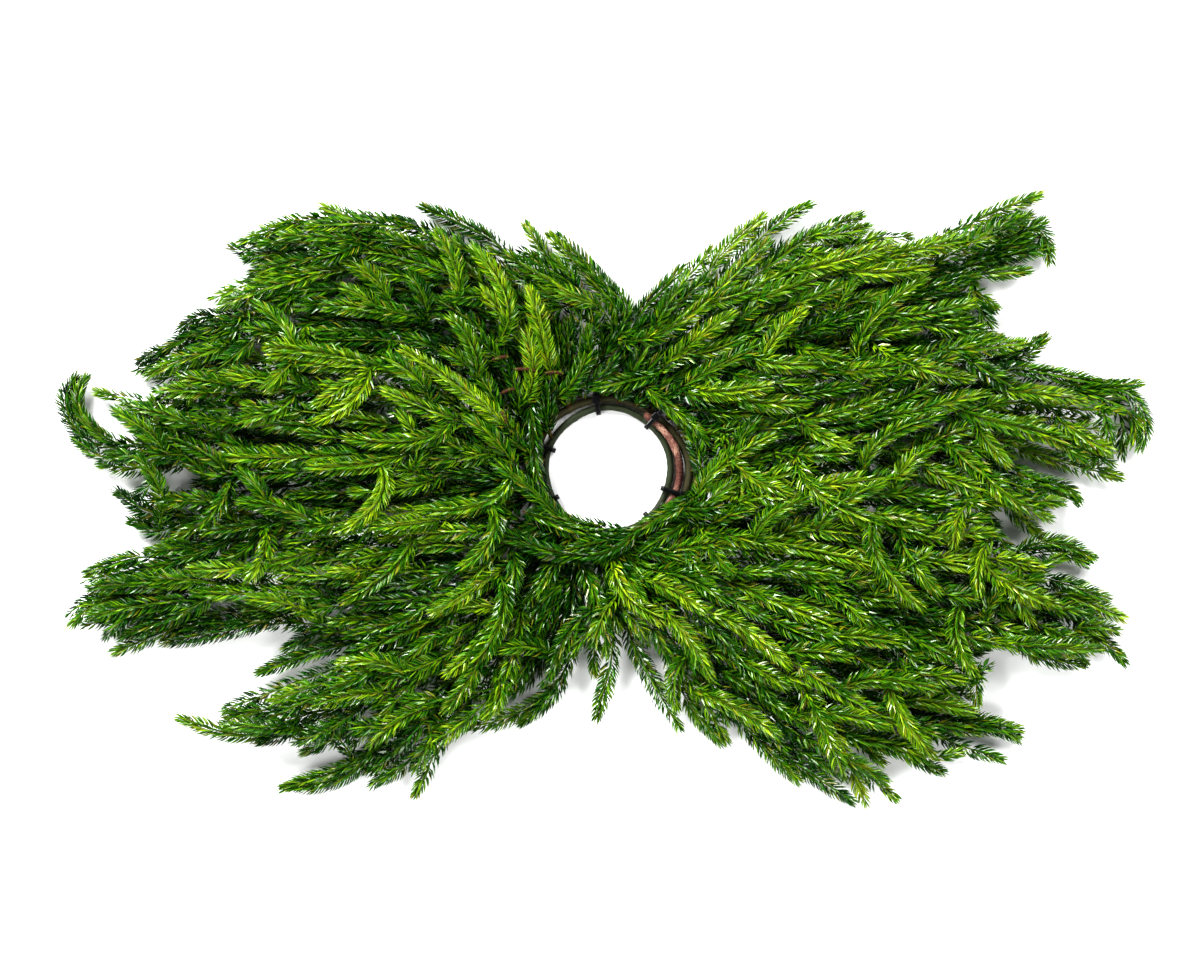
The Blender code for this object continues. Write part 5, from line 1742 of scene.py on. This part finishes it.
class Tree:
    """A material's nodes."""

    def __init__(self, name: str) -> None:
        """Makes a material with a Principled shader."""
        self.material = bpy.data.materials.new(name)
        self.material.use_nodes = True
        self.nodes, self.links = self.material.node_tree.nodes, self.material.node_tree.links
        self.shader = self.nodes["Principled BSDF"]

    def node(self, kind: str, settings: dict, sockets: dict, output: int | str = 0) -> Value:
        """Adds a node.

        Args:
            kind: its type.
            settings: properties, set first.
            sockets: a value or a link for each input, by name or number.
            output: which output is returned.

        Returns:
            The output.
        """
        made = self.nodes.new(kind)
        for name, value in settings.items():
            setattr(made, name, value)
        for key, value in sockets.items():
            self.put(made.inputs[key], value)
        return Value(self, made.outputs[output])

    def put(self, socket: bpy.types.NodeSocket, value: "Value | float | Sequence[float]") -> None:
        """Links a value to a socket, or sets the socket."""
        if isinstance(value, Value):
            self.links.new(value.socket, socket)
        elif isinstance(value, tuple) and socket.type == "RGBA":
            socket.default_value = (*value[:3], 1.0)
        else:
            socket.default_value = value

    def math(self, operation: str, *values: Value | float) -> Value:
        """One Math node."""
        return self.node("ShaderNodeMath", {"operation": operation}, dict(enumerate(values)))

    def mix(self, share: Value | float, first: Value | Colour, second: Value | Colour) -> Value:
        """Mixes two colours."""
        return self.node("ShaderNodeMix", {"data_type": "RGBA"}, {0: share, 6: first, 7: second}, 2)

    def times(self, share: Value | float, colour: Value, factor: Colour) -> Value:
        """Multiplies a share of a colour by another."""
        settings = {"data_type": "RGBA", "blend_type": "MULTIPLY"}
        return self.node("ShaderNodeMix", settings, {0: share, 6: colour, 7: factor}, 2)

    def graded(self, share: Value, stops: Sequence[tuple[float, Colour]]) -> Value:
        """The colour at a share of a scale with (place, colour) stops."""
        made = self.node("ShaderNodeValToRGB", {}, {0: share})
        elements = made.socket.node.color_ramp.elements
        while len(elements) < len(stops):
            elements.new(0.5)
        for element, (place, colour) in zip(elements, stops):
            element.position, element.color = place, (*colour, 1.0)
        return made

    def mark(self, name: str) -> Value:
        """A vertex value of the mesh."""
        return self.node("ShaderNodeAttribute", {"attribute_name": name}, {}, "Fac")

    def noise(self, scale: float, detail: float, where: Value | None = None, rough: float = 0.55) -> Value:
        """Noise, 0 to 1.

        Args:
            scale: features to a unit, about.
            detail: octaves.
            where: coordinates. Without them it is made over the object, in metres.
            rough: weight of the finer octaves.

        Returns:
            The noise.
        """
        where = where or self.node("ShaderNodeTexCoord", {}, {}, "Object")
        sockets = {"Vector": where, "Scale": scale, "Detail": detail, "Roughness": rough}
        return self.node("ShaderNodeTexNoise", {}, sockets)

    def bump(self, height: Value, strength: float, distance: float) -> None:
        """Puts a bump on the shader's normal."""
        sockets = {"Height": height, "Strength": strength, "Distance": distance}
        self.put(self.shader.inputs["Normal"], self.node("ShaderNodeBump", {}, sockets))

    def finish(self, **sockets: "Value | float | Colour") -> Material:
        """Sets the shader's sockets, with _ for a space in their names, and returns the material."""
        for name, value in sockets.items():
            self.put(self.shader.inputs[name.replace("_", " ")], value)
        return self.material


@dataclass(frozen=True)
class NeedleFinish:
    """Waxy needles: deep green when old and where shade is painted, yellow green when young and where light
    is painted, and paler at the base and the tip.

    Attributes:
        stops, cool_stops: colours by age and painted shade, of most needles and of those that are bluer.
        pale: colour of the base and the tip of young needles.
        dry: colour of the few needles that have dried.
        dim, fleck: what the colour of the darkest needles and of their flecks is multiplied by. The
            darkening of the needles is a random tone and, stronger towards each needle's base, painted
            shade.
        roughness: at its lowest.
        shine: the shader's specular level.
    """

    stops: tuple[tuple[float, Colour], ...] = (
        (0.0, (0.004, 0.038, 0.001)),
        (0.3, (0.042, 0.158, 0.001)),
        (0.6, (0.170, 0.318, 0.004)),
        (1.0, (0.45, 0.555, 0.020)),
    )
    cool_stops: tuple[tuple[float, Colour], ...] = (
        (0.0, (0.001, 0.034, 0.003)),
        (0.4, (0.012, 0.140, 0.014)),
        (1.0, (0.170, 0.420, 0.050)),
    )
    pale: Colour = (0.36, 0.46, 0.02)
    dry: Colour = (0.19, 0.11, 0.018)
    dim: Colour = (0.28, 0.36, 0.36)
    fleck: Colour = (0.75, 0.8, 0.75)
    roughness: float = 0.17
    shine: float = 0.38

    def build(self) -> Material:
        """Makes the material."""
        tree = Tree("needle")
        along, youth, tone = (tree.mark(name) for name in MARKS)
        cloud = tree.noise(24.0, 2.0)
        fleck = tree.noise(900.0, 2.0)
        # The youth value holds painted shade for low, buried and underlying needles and low ropes, and
        # painted light for high ones.
        age_and_shade = youth + 0.6 * (tone - 0.47) + 0.45 * (cloud - 0.5)
        warm, cool = (tree.graded(age_and_shade.held(), stops) for stops in (self.stops, self.cool_stops))
        colour = tree.mix(tree.math("FRACT", tone * 3.1).ramp(0.5, 0.8) * 0.6, warm, cool)
        base = 1 - along.ramp(0.0, 0.4)
        colour = tree.mix(base * 0.35 * youth.held(), colour, self.pale)
        colour = tree.mix(along.ramp(0.8, 1.0) * 0.35 * youth.held(), colour, self.pale)
        colour = tree.mix(tone.ramp(0.88, 0.94) * 0.6, colour, self.dry)
        # Darkens needles by a random tone, more at the base than at the tip: the base's extra share is
        # painted shade near the stem.
        colour = tree.times(tree.math("FRACT", tone * 7.3) * (1 - 0.4 * along), colour, self.dim)
        colour = tree.times(0.5 * fleck, colour, self.fleck)
        rough = self.roughness + 0.15 * fleck
        return tree.finish(Base_Color=colour, Roughness=rough, Specular_IOR_Level=self.shine)


@dataclass(frozen=True)
class TwigFinish:
    """Stems under the needles: brown bark at the root, then green, and yellow green towards the tip."""

    bark: Colour = (0.05, 0.018, 0.008)
    green: Colour = (0.07, 0.14, 0.004)
    young: Colour = (0.15, 0.22, 0.010)

    def build(self) -> Material:
        """Makes the material."""
        tree = Tree("twig")
        along, youth, _ = (tree.mark(name) for name in MARKS)
        grain = tree.noise(700.0, 4.0)
        share = (along + 0.5 * (grain - 0.5)).held()
        colour = tree.mix(share.ramp(0.0, 0.08), self.bark, self.green)
        # The youth value, which carries the rope's painted light and shade, makes stems yellow green.
        colour = tree.mix(youth.ramp(0.2, 0.9) * share.ramp(0.1, 0.5), colour, self.young)
        tree.bump(grain, 0.5, 0.0004)
        return tree.finish(Base_Color=colour, Roughness=0.5 + 0.25 * grain, Specular_IOR_Level=0.2)


@dataclass(frozen=True)
class VineFinish:
    """Skin of a vine strand: two colours in long streaks, scars, and a bump of fine fibres.

    Attributes:
        name: the material's name.
        main, streak, scar: its colours.
        worn: what its colour is multiplied by at the dullest specks.
        scars: share of the length with scars, 0 to 1.
        roughness: at its lowest.
        rough_skin: strength of the bump.
    """

    name: str
    main: Colour
    streak: Colour
    scar: Colour
    scars: float
    roughness: float
    rough_skin: float
    worn: Colour = (0.55, 0.5, 0.45)

    def build(self) -> Material:
        """Makes the material."""
        tree = Tree(self.name)
        uv = tree.node("ShaderNodeUVMap", {"uv_map": "OFBake"}, {})
        where = tree.node("ShaderNodeMapping", {}, {"Vector": uv, "Scale": (9.0, 6.0, 1.0)})
        fibre = tree.noise(5.0, 5.0, where, 0.6)
        patch = tree.noise(95.0, 3.0)
        fine = tree.noise(1500.0, 3.0)
        colour = tree.mix(fibre.ramp(0.38, 0.62), self.main, self.streak)
        worn = patch * 0.5 + fibre * 0.5
        colour = tree.mix(worn.ramp(1 - self.scars, 1.1 - self.scars), colour, self.scar)
        colour = tree.times(0.6 * fine, colour, self.worn)
        tree.bump(fibre * 0.7 + fine * 0.3, self.rough_skin, 0.0006)
        return tree.finish(Base_Color=colour, Roughness=self.roughness + 0.3 * fine)


@dataclass(frozen=True)
class TieFinish:
    """Black nylon with a slight sheen, fine moulding grain and scuffs."""

    colour: Colour = (0.003, 0.003, 0.0035)
    scuff: Colour = (0.012, 0.012, 0.014)
    roughness: float = 0.24

    def build(self) -> Material:
        """Makes the material."""
        tree = Tree("black_nylon")
        grain = tree.noise(2600.0, 3.0)
        patch = tree.noise(420.0, 4.0)
        worn = patch.ramp(0.58, 0.74)
        colour = tree.mix(worn * 0.6, self.colour, self.scuff)
        tree.bump(grain, 0.15, 0.0001)
        rough = self.roughness + 0.15 * grain + 0.2 * worn
        return tree.finish(Base_Color=colour, Roughness=rough, Specular_IOR_Level=0.3)


@dataclass(frozen=True)
class FloorFinish:
    """A plain white sheet with the faintest unevenness."""

    colour: Colour = (0.93, 0.93, 0.93)
    shade: Colour = (0.9, 0.9, 0.905)

    def build(self) -> Material:
        """Makes the material."""
        tree = Tree("white_sheet")
        cloud = tree.noise(3.0, 2.0)
        colour = tree.mix(cloud, self.colour, self.shade)
        return tree.finish(Base_Color=colour, Roughness=0.8 + 0.1 * cloud)


# The studio


@dataclass(frozen=True)
class Studio:
    """Floor, lights and the camera, which looks straight down.

    Attributes:
        aim: plan point in the middle of the picture.
        height: height of the camera over the table.
        span: width of the picture at the foliage's middle height.
        middle: that height.
        sensor: width of the camera's sensor.
        lamps: name, direction seen from above in degrees, and power of each lamp.
        lamp_away, lamp_high: how far out and how high they stand, in metres.
        lamp_aim, lamp_size: height that they are turned to, and their width, in metres.
        sky: strength of the pale light from all round.
        sheet, flat: half the width of the sheet, and how far out it is flat, in metres.
        bend: how fast it rises beyond.
        squares: squares across the sheet.
    """

    aim: Pair = (-1.9, 8.1)
    height: float = 1600.0
    span: float = 660.0
    middle: float = 14.0
    sensor: float = 36.0
    lamps: tuple[tuple[str, float, float], ...] = (
        ("key", 130, 50.0), ("left", 215, 16.0), ("right", 40, 22.0), ("front", 305, 12.0),
    )
    lamp_away: float = 1.35
    lamp_high: float = 1.1
    lamp_aim: float = 0.02
    lamp_size: float = 0.7
    sky: float = 0.16
    sheet: float = 3.6
    flat: float = 1.6
    bend: float = 0.25
    squares: int = 40

    def camera(self) -> None:
        """Makes the camera, whose lens is the sensor's width times distance over span."""
        data = bpy.data.cameras.new("camera")
        data.sensor_width = self.sensor
        data.lens = self.sensor * (self.height - self.middle) / self.span
        camera = add_object("camera", data)
        camera.location = (self.aim[0] * MM, self.aim[1] * MM, self.height * MM)
        bpy.context.scene.camera = camera

    def light(self, name: str, turn: float, power: float) -> None:
        """Makes a square lamp that is turned to the object."""
        data = bpy.data.lights.new(name, "AREA")
        data.shape, data.size, data.energy = "SQUARE", self.lamp_size, power
        lamp = add_object(name, data)
        away = np.append(self.lamp_away * ray(math.radians(turn)), self.lamp_high)
        lamp.location = away
        away[2] -= self.lamp_aim
        tilt = math.acos(away[2] / np.linalg.norm(away))
        lamp.rotation_euler = (0.0, tilt, math.atan2(away[1], away[0]))

    def lights(self) -> None:
        """Large lamps low round the object, strongest behind on the left, and pale light from all round."""
        for name, turn, power in self.lamps:
            self.light(name, turn, power)
        world = bpy.data.worlds.new("surroundings")
        world.use_nodes = True
        sky = world.node_tree.nodes["Background"]
        sky.inputs["Color"].default_value = (1.0, 1.0, 1.0, 1.0)
        sky.inputs["Strength"].default_value = self.sky
        bpy.context.scene.world = world
        bpy.context.scene.view_settings.view_transform = "Standard"
        bpy.context.scene.view_settings.look = "High Contrast"

    def floor(self) -> None:
        """A white sheet under everything, curved up far away."""
        rows = self.squares + 1
        marks = np.linspace(-self.sheet, self.sheet, rows)
        x, y = np.meshgrid(marks, marks, indexing="ij")
        far = np.clip(np.hypot(x, y) - self.flat, 0, None)
        points = np.stack([x, y, self.bend * far**2], -1).reshape(-1, 3)
        i, j = np.meshgrid(np.arange(self.squares), np.arange(self.squares), indexing="ij")
        corner = (i * rows + j).ravel()
        faces = np.stack([corner, corner + rows, corner + rows + 1, corner + 1], -1)
        mesh = bpy.data.meshes.new("table")
        mesh.from_pydata(points.tolist(), [], faces.tolist())
        mesh.materials.append(FloorFinish().build())
        floor = add_object("table", mesh)


@dataclass(frozen=True)
class CandleRing:
    """The whole object: the ring, its ties and the sprays."""

    ring: Ring = Ring()

    def ties(self) -> list[Tie]:
        """Every tie."""
        return [Tie(self.ring, number, angle) for number, angle in enumerate(self.ring.tie_angles, 1)]

    def strands(self) -> list[tuple[Strand, VineFinish]]:
        """Every strand with its finish."""
        ring = self.ring
        green = VineFinish(
            "green_vine", main=(0.01, 0.022, 0.004), streak=(0.024, 0.034, 0.006),
            scar=(0.04, 0.022, 0.008), scars=0.36, roughness=0.5, rough_skin=0.4,
        )
        olive = VineFinish(
            "olive_vine", main=(0.06, 0.045, 0.01), streak=(0.022, 0.03, 0.006),
            scar=(0.12, 0.05, 0.018), scars=0.42, roughness=0.55, rough_skin=0.7,
        )
        red = VineFinish(
            "red_bark", main=(0.19, 0.07, 0.05), streak=(0.05, 0.018, 0.012),
            scar=(0.5, 0.32, 0.24), scars=0.48, roughness=0.6, rough_skin=1.0,
        )
        knots = ((0.09, 0.006, 0.22), (0.34, 0.005, 0.16), (0.71, 0.007, 0.2))
        inner = Strand(ring, StrandKind.INNER, ring.inner, "green_vine", wobble=0.09, knots=knots[1:])
        outer = Strand(ring, StrandKind.OUTER, ring.outer, "olive_vine", wobble=0.06, knots=knots)
        bark = Strand(
            ring, StrandKind.BARK, ring.bark, "red_bark", steps=260, sides=16, slim=0.92, wobble=0.12,
            grooves=0.09, knots=((0.3, 0.02, 0.15),),
        )
        return [(inner, green), (outer, olive), (bark, red)]

    def build(self) -> None:
        """Builds every piece."""
        for strand, finish in self.strands():
            strand.build(finish.build())
        nylon = TieFinish().build()
        ties = self.ties()
        for tie in ties:
            TieShape(tie).build(nylon)
        layout = Layout(self.ring, ties)
        layout.lay()
        framed = len(layout.ropes)
        layout.tuck()
        layout.fringe()
        layout.thicken(FILL_SHOOTS)
        layout.thicken(PATCH_SHOOTS)
        layout.scatter(CROSS_SHOOTS)
        layout.drape_over_ring()
        length = sum(float(arc_length(rope.path)[-1]) for rope in layout.ropes) * MM
        added = len(layout.ropes) - framed
        LOG.info("%d ropes, %d of them added, %.1f m in all", len(layout.ropes), added, length)
        pieces = Foliage(self.ring).build(layout, [NeedleFinish().build(), TwigFinish().build()])
        LOG.info("%d faces in the sprays", sum(len(piece.data.polygons) for piece in pieces))


def write_size() -> None:
    """Updates the view layer."""
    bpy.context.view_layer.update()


def main() -> None:
    """Builds the object and the studio round it."""
    logging.basicConfig(level=logging.INFO, format="%(name)s: %(message)s")
    CandleRing().build()
    studio = Studio()
    studio.floor()
    studio.lights()
    studio.camera()
    write_size()


if __name__ == "__main__":
    main()
